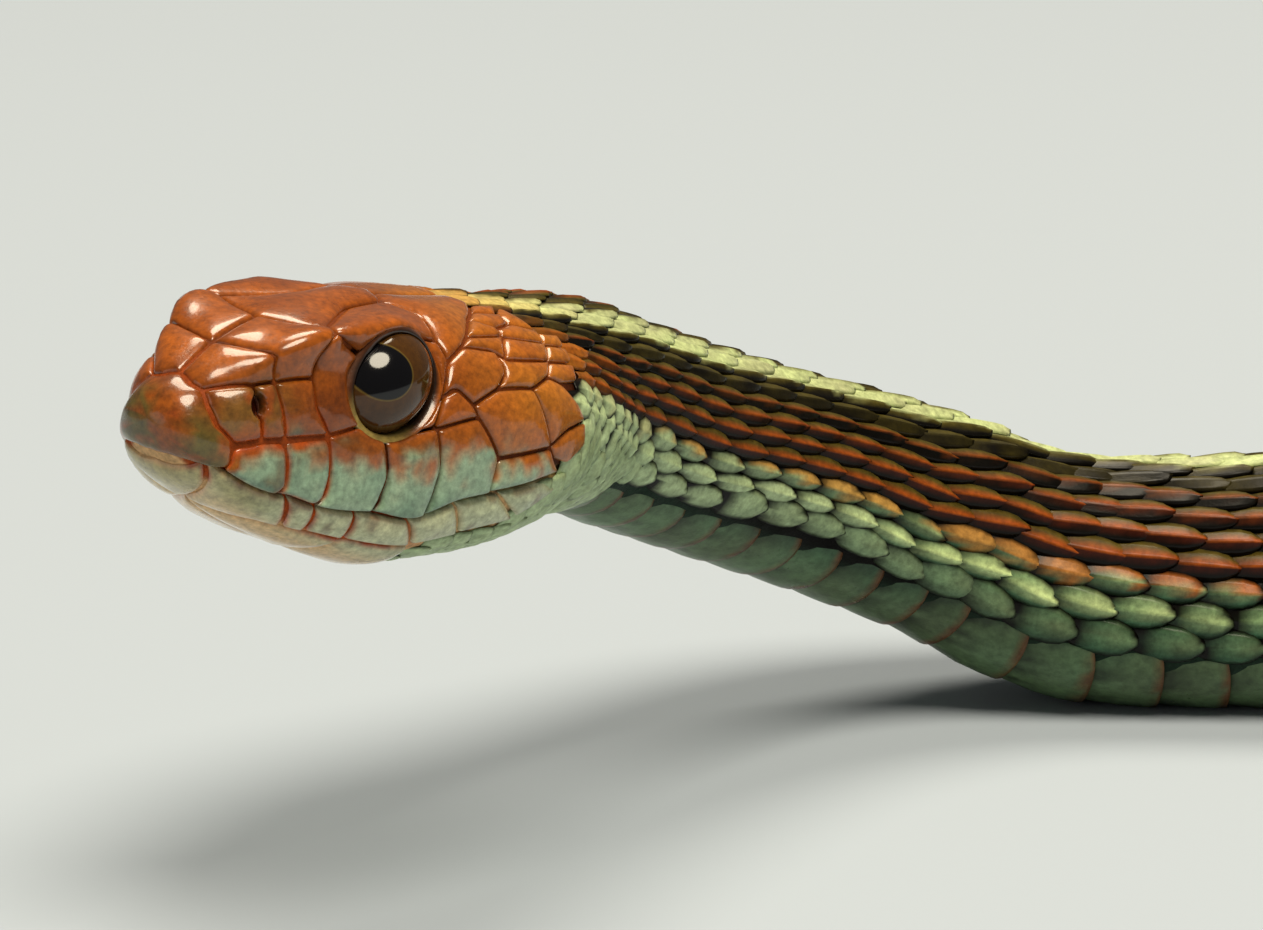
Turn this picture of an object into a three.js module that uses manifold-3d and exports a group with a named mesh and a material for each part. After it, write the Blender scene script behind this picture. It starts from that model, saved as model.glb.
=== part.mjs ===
// A garter snake at life size, resting on its belly with its neck and head raised.
// Millimetres, +Z up. The origin is on the floor, under the belly where the raised neck
// comes down to rest, and the body runs along +X there. The head points to -X and -Y.
import * as THREE from "three";
import { mergeVertices } from "three/addons/utils/BufferGeometryUtils.js";
import Module from "manifold-3d";

const wasm = await Module();
wasm.setup();

// Driving sizes. A place is a distance from the tip of the snout, along the animal.
const TOTAL_LENGTH = 725;
const HEAD_END = 22;
const NECK_END = 62;
const VENT = 550;
const REST_PLACE = 70;
const TRUNK_LENGTHS = 9;
const TAIL_LENGTHS = 4;
const GAP = 0.3;

// The head, in its own frame: x back from the snout, y to its right, z up from the lips.
const HEAD_HALF_WIDTH = curve([[0, 0], [0.35, 1.35], [0.9, 1.9], [1.8, 2.6], [3, 3.2], [4.5, 3.7],
  [6.5, 4.35], [9, 5.1], [11.5, 5.65], [14, 6.1], [16.5, 6.5], [19, 6.35], [22, 5.5]]);
const HEAD_TOP = curve([[0, 1.2], [0.35, 2.1], [0.9, 2.65], [1.8, 3.4], [3, 4.2], [4.5, 4.8],
  [6.5, 5.3], [9, 5.7], [11.5, 5.9], [14, 5.8], [22, 5.55]]);
const HEAD_BOTTOM = curve([[0, 1.2], [0.35, -0.1], [0.9, -0.75], [1.8, -1.35], [3, -2.05], [4.5, -2.7],
  [6.5, -3.35], [9, -4.05], [11.5, -4.45], [16.5, -4.15], [22, -3.35]]);
const HEAD_WIDEST_LEVEL = curve([[0, 1.2], [0.9, 0.5], [3, -0.3], [6.5, -1], [9, -1], [14, 0.1],
  [19, 1], [22, 1.2]]);
const HEAD_SQUARENESS = curve([[0, 2], [0.9, 2.3], [3, 2.8], [9, 2.15], [14, 2.5], [22, 2.05]]);
const JAW_SQUARENESS = curve([[0, 2], [0.9, 2.1], [3, 1.95], [9, 2.4], [14, 2.45], [22, 2.05]]);
const LIP_LEVEL = curve([[0, 0.1], [0.6, 0.3], [1, 0.15], [1.7, -0.3], [2.9, -0.8], [4.5, -1.15],
  [6.5, -1.5], [9, -1.68], [10.4, -1.7], [12.3, -1.1], [14.5, -0.45], [16.8, 0.75], [19.3, 2], [22, 1]]);
const AXIS_LEVEL = 1.2;
const SKIN_DEPTH = 0.12;

// The brow is a ridge that runs back from the snout over each eye.
const BROW_HEIGHT = 1.4;
const BROW_ANGLE = 33;
const BROW_WIDTH = 8;
const BROW_START = [2.8, 6.8];
const BROW_END = [9.6, 12.1];

// Each eye is a thick lens set into the side of the head.
const EYE_PLACE = new THREE.Vector3(9.2, 3.85, 3.2);
const EYE_FACING = new THREE.Vector3(-0.16, 0.97, 0.17).normalize();
const EYE_DOME_RADIUS = 2.35;
const EYE_RIM_RADIUS = 2.12;
const EYE_BACK_DEPTH = 1.1;
const NOSTRIL_PLACE = [2.55, 60];
const NOSTRIL_RADIUS = 0.34;

// The corners where the head's shields meet: [distance back, degrees round from the crown].
const CORNERS = {
  snout_top: [1.2, 0], nose_top: [2.85, 0], brow_top: [5.25, 0], crown_top: [12.3, 0], nape_top: [16.9, 0],
  rostral_side: [1.15, 32], rostral_low: [1.3, 70], rostral_foot: [1.9, 83], lip_0: [1.7, 105],
  nostril_top: [2.65, 47], nose_side: [3.45, 34], nasal_top: [3.6, 50], nasal_seam: [2.9, 80],
  nasal_foot: [3.9, 78], loreal_top: [5.25, 49], loreal_rear: [5.3, 63], loreal_foot: [5.85, 73],
  prefrontal_rear: [6.1, 25], prefrontal_low: [5.6, 38], preocular_top: [7.3, 40], preocular_foot: [6.9, 73],
  brow_front: [6.4, 37], brow_middle: [8.2, 42], brow_rear: [10.6, 40], supra_front: [9.1, 12],
  supra_rear: [11.3, 10], supra_end: [12.3, 22], parietal_front: [11.9, 39], parietal_low: [12, 47],
  parietal_middle: [13.2, 39], parietal_side: [15.1, 22], parietal_end: [17.2, 8],
  temporal_front: [11.8, 56], temporal_low: [11.6, 66], postocular_foot: [10.8, 72],
  temporal_top: [14.85, 43], temporal_rear: [14.7, 54], temporal_end: [13.4, 63], cheek_front: [15.4, 60],
  nape_side: [16.2, 28], nape_low: [15.4, 45], cheek_rear: [17.8, 47], nape_rear: [17.8, 27],
  nape_end: [18.6, 11], cheek_top: [16.1, 61], cheek_end: [18.3, 60], cheek_low: [19.1, 74],
  lip_1: [4, 106], lip_2: [5.7, 100], lip_3: [8.2, 99], lip_4: [10.6, 101], lip_5: [13.9, 98],
  lip_6: [17, 90], lip_7: [19.3, 84], eye_under: [8.4, 74], labial_4: [11, 72], labial_5: [13.2, 73],
  chin_tip: [0.45, 180], mental_lip: [1.1, 112], mental_rear: [2.6, 180], chin_1: [4.5, 143],
  chin_2: [6.3, 134], chin_3: [7.9, 128], chin_4: [11.2, 124], chin_5: [13.5, 121], chin_6: [16.3, 118],
  throat_1: [4.9, 179], throat_2: [7.8, 177], throat_3: [11.6, 172], throat_side: [11.4, 147],
};

// The shields by their corners, first those of the upper head, then those of the lower jaw.
// A corner with a minus sign is the one on the other side.
const HEAD_MIDDLE_SHIELDS = {
  frontal: ["brow_top", "prefrontal_rear", "supra_front", "supra_rear", "crown_top",
    "-supra_rear", "-supra_front", "-prefrontal_rear"],
};
const HEAD_PAIRED_SHIELDS = {
  internasal: ["snout_top", "nose_top", "nose_side", "nasal_top", "nostril_top", "rostral_side"],
  prefrontal: ["nose_top", "brow_top", "prefrontal_rear", "prefrontal_low", "loreal_top", "nasal_top",
    "nose_side"],
  prenasal: ["rostral_side", "nostril_top", "nasal_seam", "rostral_foot", "rostral_low"],
  postnasal: ["nostril_top", "nasal_top", "nasal_foot", "nasal_seam"],
  loreal: ["nasal_top", "loreal_top", "loreal_rear", "loreal_foot", "nasal_foot"],
  preocular: ["prefrontal_low", "preocular_top", "preocular_foot", "loreal_foot", "loreal_rear",
    "loreal_top"],
  supraocular: ["prefrontal_rear", "supra_front", "supra_rear", "supra_end", "brow_rear", "brow_middle",
    "brow_front"],
  parietal: ["crown_top", "nape_top", "parietal_end", "parietal_side", "parietal_middle", "parietal_low",
    "parietal_front", "supra_end", "supra_rear"],
  postocular: ["brow_rear", "supra_end", "parietal_front", "temporal_front", "temporal_low",
    "postocular_foot"],
  upper_temporal: ["parietal_low", "parietal_middle", "temporal_top", "temporal_rear", "temporal_end",
    "temporal_front"],
  lower_temporal: ["temporal_front", "temporal_end", "labial_5", "labial_4", "temporal_low"],
  side_scale: ["parietal_middle", "parietal_side", "nape_side", "nape_low", "temporal_top"],
  rear_scale: ["nape_low", "nape_side", "nape_rear", "cheek_rear"],
  nape_scale: ["parietal_side", "parietal_end", "nape_end", "nape_rear", "nape_side"],
  cheek_scale: ["temporal_rear", "temporal_top", "nape_low", "cheek_rear", "cheek_end", "cheek_top",
    "cheek_front"],
  labial_1: ["rostral_foot", "nasal_seam", "nasal_foot", "lip_1", "lip_0"],
  labial_2: ["nasal_foot", "loreal_foot", "lip_2", "lip_1"],
  labial_3: ["loreal_foot", "preocular_foot", "eye_under", "lip_3", "lip_2"],
  labial_4: ["eye_under", "postocular_foot", "labial_4", "lip_4", "lip_3"],
  labial_5: ["labial_4", "labial_5", "lip_5", "lip_4"],
  labial_6: ["labial_5", "temporal_end", "cheek_front", "cheek_top", "lip_6", "lip_5"],
  labial_7: ["cheek_top", "cheek_end", "cheek_low", "lip_7", "lip_6"],
};
const JAW_MIDDLE_SHIELDS = {
  mental: ["chin_tip", "mental_lip", "mental_rear", "-mental_lip"],
};
const JAW_PAIRED_SHIELDS = {
  lower_labial_1: ["mental_lip", "lip_1", "chin_1", "mental_rear"],
  lower_labial_2: ["lip_1", "lip_2", "chin_2", "chin_1"],
  lower_labial_3: ["lip_2", "lip_3", "chin_3", "chin_2"],
  lower_labial_4: ["lip_3", "lip_4", "chin_4", "chin_3"],
  lower_labial_5: ["lip_4", "lip_5", "chin_5", "chin_4"],
  lower_labial_6: ["lip_5", "lip_6", "chin_6", "chin_5"],
  front_chin_shield: ["mental_rear", "chin_1", "chin_2", "chin_3", "throat_2", "throat_1"],
  rear_chin_shield: ["throat_2", "chin_3", "chin_4", "throat_side", "throat_3"],
};
const ROSTRAL_EDGE = curve([[0, 1.2], [32, 1.15], [50, 1.1], [70, 1.3], [83, 1.9], [105, 1.7], [125, 0.9],
  [150, 0.45], [180, 0.35]]);
const ROSTRAL_SIDES = 24;
const SEAM = 0.28;
const SHIELD_EDGE_HEIGHT = -0.02;
const SHIELD_HEIGHT = 0.08;
const SHIELD_ROOT = 0.5;
const SHIELD_STEP = 1.3;
const LIP_OVERLAP = 5;

// The body: half its width and half its height at each place, and how it lies.
const BODY_HALF_WIDTH = curve([[22, 5.5], [26, 4.6], [32, 4.4], [42, 4.6], [52, 5.05], [62, 5.75],
  [90, 6.6], [150, 7.6], [220, 8.3], [300, 8.6], [380, 8.3], [460, 7.2], [530, 5.9],
  [555, 5], [580, 4.4], [640, 2.9], [690, 1.65], [718, 0.85], [725, 0.45]]);
const BODY_HALF_HEIGHT = curve([[22, 4.45], [26, 4.35], [32, 4.38], [42, 4.5], [52, 4.87], [62, 5.5],
  [90, 6.1], [150, 6.9], [220, 7.5], [300, 7.7], [380, 7.4], [460, 6.5], [530, 5.4],
  [555, 4.6], [580, 4.1], [640, 2.8], [690, 1.6], [718, 0.85], [725, 0.45]]);
const BODY_SQUARENESS = 2.15;
const BELLY_FLAT = 0.93;
const NECK_LANDING = 65;
const NECK_LIFT = 13.25;
const NECK_RISE = curve([[22, 1], [26, 0.952], [31, 0.822], [39, 0.607], [47, 0.392], [53, 0.222],
  [57, 0.088], [61, 0.012], [NECK_LANDING, 0]]);
const HEADING = curve([[22, 55.5], [34, 55], [40, 48.5], [48, 32], [56, 11], [62, 2], [70, 0],
  [84, 3], [150, 88], [210, 0], [265, -92], [325, 0], [380, 88], [435, 0], [485, -80],
  [530, 0], [575, 62], [620, 0], [655, -38], [725, 5]]);
const ROLL = curve([[22, 7.3], [27, 18], [35, 29], [48, 29], [51, 23], [54, 15], [62, 3], [68, 0], [725, 0]]);

const HEAD_RING_PLACES = [0.1, 0.35, 0.9, 1.8, 3, 4.5, 6, 7.25, 8.5, 10, 11.5, 13, 15, 17, 19, 20.5];
const SIDES = 20;
const HEAD_SIDES = 32;
const RING_STEP = 5.5;
const NECK_RING_STEP = 3.4;
const PATH_STEP = 0.5;

function curve(stations) {
  // A smooth curve through [place, value] stations that never overshoots them.
  const slope = stations.slice(1).map((s, i) => (s[1] - stations[i][1]) / (s[0] - stations[i][0]));
  const tangent = stations.map((s, i) => {
    if (i === 0) return slope[0];
    if (i === slope.length) return slope[i - 1];
    const product = slope[i - 1] * slope[i];
    return product <= 0 ? 0 : (2 * product) / (slope[i - 1] + slope[i]);
  });
  return (place) => {
    const last = stations.length - 1;
    const x = Math.min(Math.max(place, stations[0][0]), stations[last][0]);
    let i = 0;
    while (i < last - 1 && x > stations[i + 1][0]) i += 1;
    const span = stations[i + 1][0] - stations[i][0];
    const t = (x - stations[i][0]) / span;
    const rest = 1 - t;
    return (1 + 2 * t) * rest * rest * stations[i][1] + t * rest * rest * span * tangent[i]
      + t * t * (3 - 2 * t) * stations[i + 1][1] - t * t * rest * span * tangent[i + 1];
  };
}

function radians(degrees) {
  return (degrees * Math.PI) / 180;
}

function ease(from, to, x) {
  const t = Math.min(Math.max((x - from) / (to - from), 0), 1);
  return t * t * (3 - 2 * t);
}

function ovalPoint(halfWidth, height, squareness, angle) {
  // A point of a squared oval, by its angle in degrees from the top.
  const across = Math.sin(radians(angle));
  const up = Math.cos(radians(angle));
  return [
    halfWidth * Math.sign(across) * Math.abs(across) ** (2 / squareness),
    height * Math.sign(up) * Math.abs(up) ** (2 / squareness),
  ];
}

function headPoint(x, angle) {
  // The head's surface, by the distance back and the angle round from the crown.
  const level = HEAD_WIDEST_LEVEL(x);
  const upper = Math.cos(radians(angle)) > 0;
  const height = upper ? HEAD_TOP(x) - level : level - HEAD_BOTTOM(x);
  const squareness = upper ? HEAD_SQUARENESS(x) : JAW_SQUARENESS(x);
  const [y, z] = ovalPoint(HEAD_HALF_WIDTH(x), height, squareness, angle);
  const offBrow = (Math.abs(angle) - BROW_ANGLE) / BROW_WIDTH;
  const brow = BROW_HEIGHT * Math.exp(-offBrow * offBrow)
    * ease(...BROW_START, x) * (1 - ease(...BROW_END, x));
  return new THREE.Vector3(x, y + Math.sign(angle) * brow * 0.75, level + z + brow * 0.65);
}

// The animal's line: its level, and its place on the floor from its heading.
function lineLevel(place) {
  const resting = BELLY_FLAT * BODY_HALF_HEIGHT(Math.max(place, NECK_LANDING));
  return resting + NECK_LIFT * NECK_RISE(place);
}

function followHeading() {
  // Points on the floor under the line, one each PATH_STEP, with REST_PLACE at the origin.
  const points = [];
  let x = 0;
  let y = 0;
  for (let place = HEAD_END; place <= TOTAL_LENGTH + PATH_STEP; place += PATH_STEP) {
    points.push([x, y]);
    const rise = lineLevel(place + PATH_STEP) - lineLevel(place);
    const run = Math.sqrt(PATH_STEP * PATH_STEP - rise * rise);
    const heading = radians(HEADING(place + PATH_STEP / 2));
    x += run * Math.cos(heading);
    y += run * Math.sin(heading);
  }
  const rest = points[Math.round((REST_PLACE - HEAD_END) / PATH_STEP)];
  return points.map((point) => [point[0] - rest[0], point[1] - rest[1]]);
}

const FLOOR_POINTS = followHeading();

function lineFrame(place) {
  // The line's centre, with its direction back along the animal, its right and its up.
  const step = (place - HEAD_END) / PATH_STEP;
  const i = Math.min(Math.max(Math.floor(step), 0), FLOOR_POINTS.length - 2);
  const t = step - i;
  const [x0, y0] = FLOOR_POINTS[i];
  const [x1, y1] = FLOOR_POINTS[i + 1];
  const centre = new THREE.Vector3(x0 + t * (x1 - x0), y0 + t * (y1 - y0), lineLevel(place));
  const slope = Math.asin((lineLevel(place + PATH_STEP) - lineLevel(place)) / PATH_STEP);
  const heading = radians(HEADING(place));
  const back = new THREE.Vector3(
    Math.cos(heading) * Math.cos(slope),
    Math.sin(heading) * Math.cos(slope),
    Math.sin(slope),
  );
  const right = new THREE.Vector3(-Math.sin(heading), Math.cos(heading), 0);
  right.applyAxisAngle(back, radians(ROLL(place)));
  const up = new THREE.Vector3().crossVectors(back, right);
  return { centre, back, right, up };
}

function bodyPoint(place, angle) {
  // The body's surface, by the place and the angle round from the back, flat where it rests.
  const { centre, right, up } = lineFrame(place);
  const [y, z] = ovalPoint(BODY_HALF_WIDTH(place), BODY_HALF_HEIGHT(place), BODY_SQUARENESS, angle);
  const point = centre.clone().addScaledVector(right, y).addScaledVector(up, z);
  point.z = Math.max(point.z, 0);
  return point;
}

function loft(rings) {
  // A closed skin over rings of equal counts. A ring of one point closes an end to a tip.
  const geometry = new THREE.BufferGeometry();
  const positions = [];
  const triangles = [];
  const starts = rings.map((ring) => {
    const start = positions.length / 3;
    ring.forEach((p) => positions.push(p.x, p.y, p.z));
    return start;
  });
  const count = rings[1].length;
  for (let i = 0; i < rings.length - 1; i += 1) {
    for (let j = 0; j < count; j += 1) {
      const k = (j + 1) % count;
      const [a, b] = [starts[i], starts[i + 1]];
      if (rings[i].length === 1) triangles.push(a, b + j, b + k);
      else if (rings[i + 1].length === 1) triangles.push(a + k, a + j, b);
      else triangles.push(a + j, b + j, b + k, a + j, b + k, a + k);
    }
  }
  closeEnd(rings[0], starts[0], positions, triangles, false);
  closeEnd(rings[rings.length - 1], starts[rings.length - 1], positions, triangles, true);
  geometry.setAttribute("position", new THREE.Float32BufferAttribute(positions, 3));
  geometry.setIndex(triangles);
  return geometry;
}

function closeEnd(ring, start, positions, triangles, atBack) {
  // Closes an end ring with a fan from its middle.
  if (ring.length === 1) return;
  const middle = new THREE.Vector3();
  ring.forEach((p) => middle.addScaledVector(p, 1 / ring.length));
  const hub = positions.length / 3;
  positions.push(middle.x, middle.y, middle.z);
  ring.forEach((_, j) => {
    const k = (j + 1) % ring.length;
    if (atBack) triangles.push(hub, start + k, start + j);
    else triangles.push(hub, start + j, start + k);
  });
}

function ringOf(count, pointAt) {
  // One ring of points, going round by the right side.
  return Array.from({ length: count }, (_, j) => {
    const angle = (360 * j) / count;
    return pointAt(angle > 180 ? angle - 360 : angle);
  });
}

function solid(geometry) {
  // The manifold of a closed geometry.
  const bare = geometry.index ? geometry.toNonIndexed() : geometry.clone();
  bare.deleteAttribute("normal");
  bare.deleteAttribute("uv");
  const merged = mergeVertices(bare, 1e-4);
  const mesh = new wasm.Mesh({
    numProp: 3,
    vertProperties: new Float32Array(merged.attributes.position.array),
    triVerts: new Uint32Array(merged.index.array),
  });
  mesh.merge();
  return new wasm.Manifold(mesh);
}

function geometryOf(manifold) {
  // The geometry of a manifold's largest closed surface.
  const pieces = manifold.decompose();
  const largest = pieces.reduce((a, b) => (b.volume() > a.volume() ? b : a));
  const mesh = largest.getMesh();
  const geometry = new THREE.BufferGeometry();
  geometry.setAttribute("position", new THREE.BufferAttribute(new Float32Array(mesh.vertProperties), 3));
  geometry.setIndex(new THREE.BufferAttribute(new Uint32Array(mesh.triVerts), 1));
  return geometry;
}

function steps(from, to, size) {
  // Evenly spaced places from one to the other, about a size apart.
  const count = Math.max(1, Math.round((to - from) / size));
  return Array.from({ length: count + 1 }, (_, i) => from + ((to - from) * i) / count);
}

function bodyLength(from, to) {
  // One length of the body, with a thin parting at each end.
  const size = from < NECK_END ? NECK_RING_STEP : RING_STEP;
  const places = steps(from + GAP / 2, to - GAP / 2, size);
  const rings = places.map((place) => ringOf(SIDES, (angle) => bodyPoint(place, angle)));
  if (to === TOTAL_LENGTH) rings.push([lineFrame(TOTAL_LENGTH).centre]);
  return loft(rings);
}

function wholeHead() {
  // The head with its lower jaw, before they are parted.
  const places = [...HEAD_RING_PLACES, HEAD_END - GAP / 2];
  const rings = places.map((x) => ringOf(HEAD_SIDES, (angle) => offHead([x, angle], -SKIN_DEPTH)));
  rings.unshift([headPoint(SKIN_DEPTH / 2, 0)]);
  return solid(loft(rings));
}

function headNormal(x, angle) {
  // The outward direction of the head's surface.
  const small = 0.02;
  const along = headPoint(x + small, angle).sub(headPoint(x - small, angle));
  const round = headPoint(x, angle + 1).sub(headPoint(x, angle - 1));
  return new THREE.Vector3().crossVectors(along, round).normalize();
}

function offHead([x, angle], height) {
  // A point over the head's surface by a height, or under it by a negative one.
  return headPoint(x, angle).addScaledVector(headNormal(x, angle), height);
}

function between(a, b, share) {
  return [a[0] + share * (b[0] - a[0]), a[1] + share * (b[1] - a[1])];
}

function clockwise(edge) {
  // The edge in the direction that a loft outwards from the head needs.
  const turn = edge.reduce((sum, [x, angle], i) => {
    const [nextX, nextAngle] = edge[(i + 1) % edge.length];
    return sum + x * nextAngle - nextX * angle;
  }, 0);
  return turn > 0 ? [...edge].reverse() : edge;
}

function middleOf(edge) {
  return edge.reduce((sum, [x, angle]) => [sum[0] + x / edge.length, sum[1] + angle / edge.length], [0, 0]);
}

function raised(edge) {
  // A low domed plate on the head's surface, rooted under it, from its edge on that surface.
  const centre = middleOf(edge);
  const shrunk = clockwise(edge).map((spot) => {
    const reach = headPoint(...spot).distanceTo(headPoint(...centre));
    return between(spot, centre, Math.min(0.45, SEAM / 2 / reach));
  });
  const shoulder = shrunk.map((spot) => between(spot, centre, 0.35));
  return solid(loft([
    [offHead(centre, -SHIELD_ROOT)],
    shrunk.map((spot) => offHead(spot, -SHIELD_ROOT)),
    shrunk.map((spot) => offHead(spot, SHIELD_EDGE_HEIGHT)),
    shoulder.map((spot) => offHead(spot, SHIELD_HEIGHT)),
    [offHead(centre, SHIELD_HEIGHT)],
  ]));
}

function corner(name, side, lipShift) {
  // A named corner on one side. The corners on the lips are shifted past the mouth's parting.
  const bare = name.replace("-", "");
  const [x, angle] = CORNERS[bare];
  const sign = bare === name ? side : -side;
  const round = sign * (angle + (bare.startsWith("lip_") ? lipShift : 0));
  return [x, lipShift < 0 && round < 0 && side > 0 ? round + 360 : round];
}

function shield(names, side, lipShift) {
  // One shield, with the stretches between its corners in short steps.
  const corners = names.map((name) => corner(name, side, lipShift));
  const edge = corners.flatMap((spot, i) => {
    const next = corners[(i + 1) % corners.length];
    const count = Math.max(1, Math.round(headPoint(...spot).distanceTo(headPoint(...next)) / SHIELD_STEP));
    return Array.from({ length: count }, (_, k) => between(spot, next, k / count));
  });
  return raised(edge);
}

function shields(middle, paired, lipShift) {
  // The shields of the middle, and those of the right side and then of the left.
  return [
    ...Object.values(middle).map((names) => shield(names, 1, lipShift)),
    ...Object.values(paired).map((names) => shield(names, 1, lipShift)),
    ...Object.values(paired).map((names) => shield(names, -1, lipShift)),
  ];
}

function rostral() {
  // The shield over the tip of the snout, whose edge goes all the way round the tip.
  const edge = ringOf(ROSTRAL_SIDES, (angle) => [ROSTRAL_EDGE(Math.abs(angle)), angle]).reverse();
  const reach = (share, height) => edge.map(([x, angle]) => offHead([x * share, angle], height));
  return solid(loft([
    [new THREE.Vector3(2.2, 0, 0.9)],
    reach(0.9, -SHIELD_ROOT),
    reach(0.9, SHIELD_EDGE_HEIGHT),
    reach(0.6, SHIELD_HEIGHT),
    reach(0.2, SHIELD_HEIGHT),
    [new THREE.Vector3(-SHIELD_HEIGHT, 0, AXIS_LEVEL)],
  ]));
}

function jawBlock(offset) {
  // A block that holds what lies below the line of the lips, moved up by an offset.
  const outline = new THREE.Shape();
  outline.moveTo(-1, LIP_LEVEL(0) + offset);
  steps(0, HEAD_END, 1.1).forEach((x) => outline.lineTo(x, LIP_LEVEL(x) + offset));
  outline.lineTo(HEAD_END + 2, LIP_LEVEL(HEAD_END) + offset);
  outline.lineTo(HEAD_END + 2, -10);
  outline.lineTo(-1, -10);
  const block = new THREE.ExtrudeGeometry(outline, { depth: 20, bevelEnabled: false });
  block.translate(0, 0, -10);
  block.rotateX(Math.PI / 2);
  return solid(block);
}

function eyeLens(side, grow) {
  // One eye as a lens of revolution: a domed front, a rim and a shallow back.
  const dome = EYE_DOME_RADIUS + grow;
  const rim = EYE_RIM_RADIUS + grow;
  const domeDepth = EYE_DOME_RADIUS - Math.sqrt(EYE_DOME_RADIUS ** 2 - EYE_RIM_RADIUS ** 2);
  const profile = [
    new THREE.Vector2(0, -EYE_BACK_DEPTH - grow),
    new THREE.Vector2(rim * 0.7, -EYE_BACK_DEPTH * 0.7 - grow),
  ];
  const arc = Math.asin(rim / dome);
  for (const share of [1, 0.8, 0.6, 0.4, 0.2, 0]) {
    const along = dome * Math.cos(arc * share) - dome + domeDepth + grow;
    profile.push(new THREE.Vector2(dome * Math.sin(arc * share), along));
  }
  const lens = new THREE.LatheGeometry(profile, 24);
  const facing = new THREE.Vector3(EYE_FACING.x, side * EYE_FACING.y, EYE_FACING.z);
  lens.applyQuaternion(new THREE.Quaternion().setFromUnitVectors(new THREE.Vector3(0, 1, 0), facing));
  lens.translate(EYE_PLACE.x, side * EYE_PLACE.y, EYE_PLACE.z);
  return solid(lens);
}

function nostril(side) {
  // A short round pit in the side of the snout.
  const pit = new THREE.SphereGeometry(NOSTRIL_RADIUS, 10, 8);
  pit.scale(1, 1.6, 1.25);
  const place = headPoint(NOSTRIL_PLACE[0], side * NOSTRIL_PLACE[1]);
  pit.translate(place.x, place.y, place.z);
  return solid(pit);
}

function buildHead() {
  // The head's four pieces, in the head's own frame.
  const whole = wholeHead();
  const cuts = [jawBlock(GAP / 2), eyeLens(1, GAP), eyeLens(-1, GAP), nostril(1), nostril(-1)];
  const head = wasm.Manifold
    .union([whole, rostral(), ...shields(HEAD_MIDDLE_SHIELDS, HEAD_PAIRED_SHIELDS, LIP_OVERLAP)])
    .subtract(wasm.Manifold.union(cuts));
  const jaw = wasm.Manifold
    .union([whole, ...shields(JAW_MIDDLE_SHIELDS, JAW_PAIRED_SHIELDS, -LIP_OVERLAP)])
    .intersect(jawBlock(-GAP / 2));
  return { head, jaw, rightEye: eyeLens(1, 0), leftEye: eyeLens(-1, 0) };
}

function skinMaterial(color, roughness = 0.45) {
  return new THREE.MeshStandardMaterial({ color, roughness, metalness: 0 });
}

const HEAD_SKIN = skinMaterial(0xa8461e);
const JAW_SKIN = skinMaterial(0xb9c4b4);
const EYE_SURFACE = skinMaterial(0x1c140c, 0.08);
const BODY_SKIN = skinMaterial(0x4a4a34);

function named(name, geometry, material) {
  const mesh = new THREE.Mesh(geometry, material);
  mesh.name = name;
  return mesh;
}

function headGroup() {
  // The head's pieces, set on the front end of the neck and along its line.
  const group = new THREE.Group();
  const { centre, back, right, up } = lineFrame(HEAD_END);
  const turn = new THREE.Matrix4().makeBasis(back, right, up);
  group.quaternion.setFromRotationMatrix(turn);
  group.position.copy(centre).addScaledVector(back, -HEAD_END).addScaledVector(up, -AXIS_LEVEL);
  const pieces = buildHead();
  group.add(named("head", geometryOf(pieces.head), HEAD_SKIN));
  group.add(named("lower_jaw", geometryOf(pieces.jaw), JAW_SKIN));
  group.add(named("eye_left", geometryOf(pieces.leftEye), EYE_SURFACE));
  group.add(named("eye_right", geometryOf(pieces.rightEye), EYE_SURFACE));
  return group;
}

function bodyGroup() {
  // The neck, then the trunk and the tail, each in a few lengths.
  const group = new THREE.Group();
  group.add(named("neck", bodyLength(HEAD_END, NECK_END), BODY_SKIN));
  const trunk = steps(NECK_END, VENT, (VENT - NECK_END) / TRUNK_LENGTHS);
  const tail = steps(VENT, TOTAL_LENGTH, (TOTAL_LENGTH - VENT) / TAIL_LENGTHS);
  for (let i = 0; i < TRUNK_LENGTHS; i += 1) {
    group.add(named(`trunk_${i + 1}`, bodyLength(trunk[i], trunk[i + 1]), BODY_SKIN));
  }
  for (let i = 0; i < TAIL_LENGTHS; i += 1) {
    group.add(named(`tail_${i + 1}`, bodyLength(tail[i], tail[i + 1]), BODY_SKIN));
  }
  return group;
}

const snake = new THREE.Group();
snake.add(headGroup(), bodyGroup());

export default snake;
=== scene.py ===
"""A life-size garter snake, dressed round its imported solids.

Sizes are in millimetres and angles in degrees, and meshes are made in metres. A place is a
distance from the tip of the snout, along the animal. An angle goes round the body from the
middle of the back, to the animal's right where it is positive.
"""

import logging
import math
from dataclasses import dataclass, field
from enum import Enum

import bpy
import numpy as np
from bpy.types import ID, Material, Mesh, Node, NodeSocket, NodeTree, Object
from mathutils import Matrix, Vector
from mathutils.geometry import delaunay_2d_cdt


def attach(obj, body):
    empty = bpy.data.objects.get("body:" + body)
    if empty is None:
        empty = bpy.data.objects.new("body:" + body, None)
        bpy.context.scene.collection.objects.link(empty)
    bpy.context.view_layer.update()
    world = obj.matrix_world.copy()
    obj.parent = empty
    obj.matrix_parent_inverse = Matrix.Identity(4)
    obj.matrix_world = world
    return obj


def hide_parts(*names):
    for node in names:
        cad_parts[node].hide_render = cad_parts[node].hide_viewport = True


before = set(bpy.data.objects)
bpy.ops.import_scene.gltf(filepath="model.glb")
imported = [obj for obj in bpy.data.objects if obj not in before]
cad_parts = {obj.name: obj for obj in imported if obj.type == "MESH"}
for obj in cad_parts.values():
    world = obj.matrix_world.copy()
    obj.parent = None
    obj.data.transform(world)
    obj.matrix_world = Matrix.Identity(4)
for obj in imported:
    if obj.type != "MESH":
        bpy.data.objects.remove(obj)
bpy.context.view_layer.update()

log = logging.getLogger("garter_snake")
MM = 0.001
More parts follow.
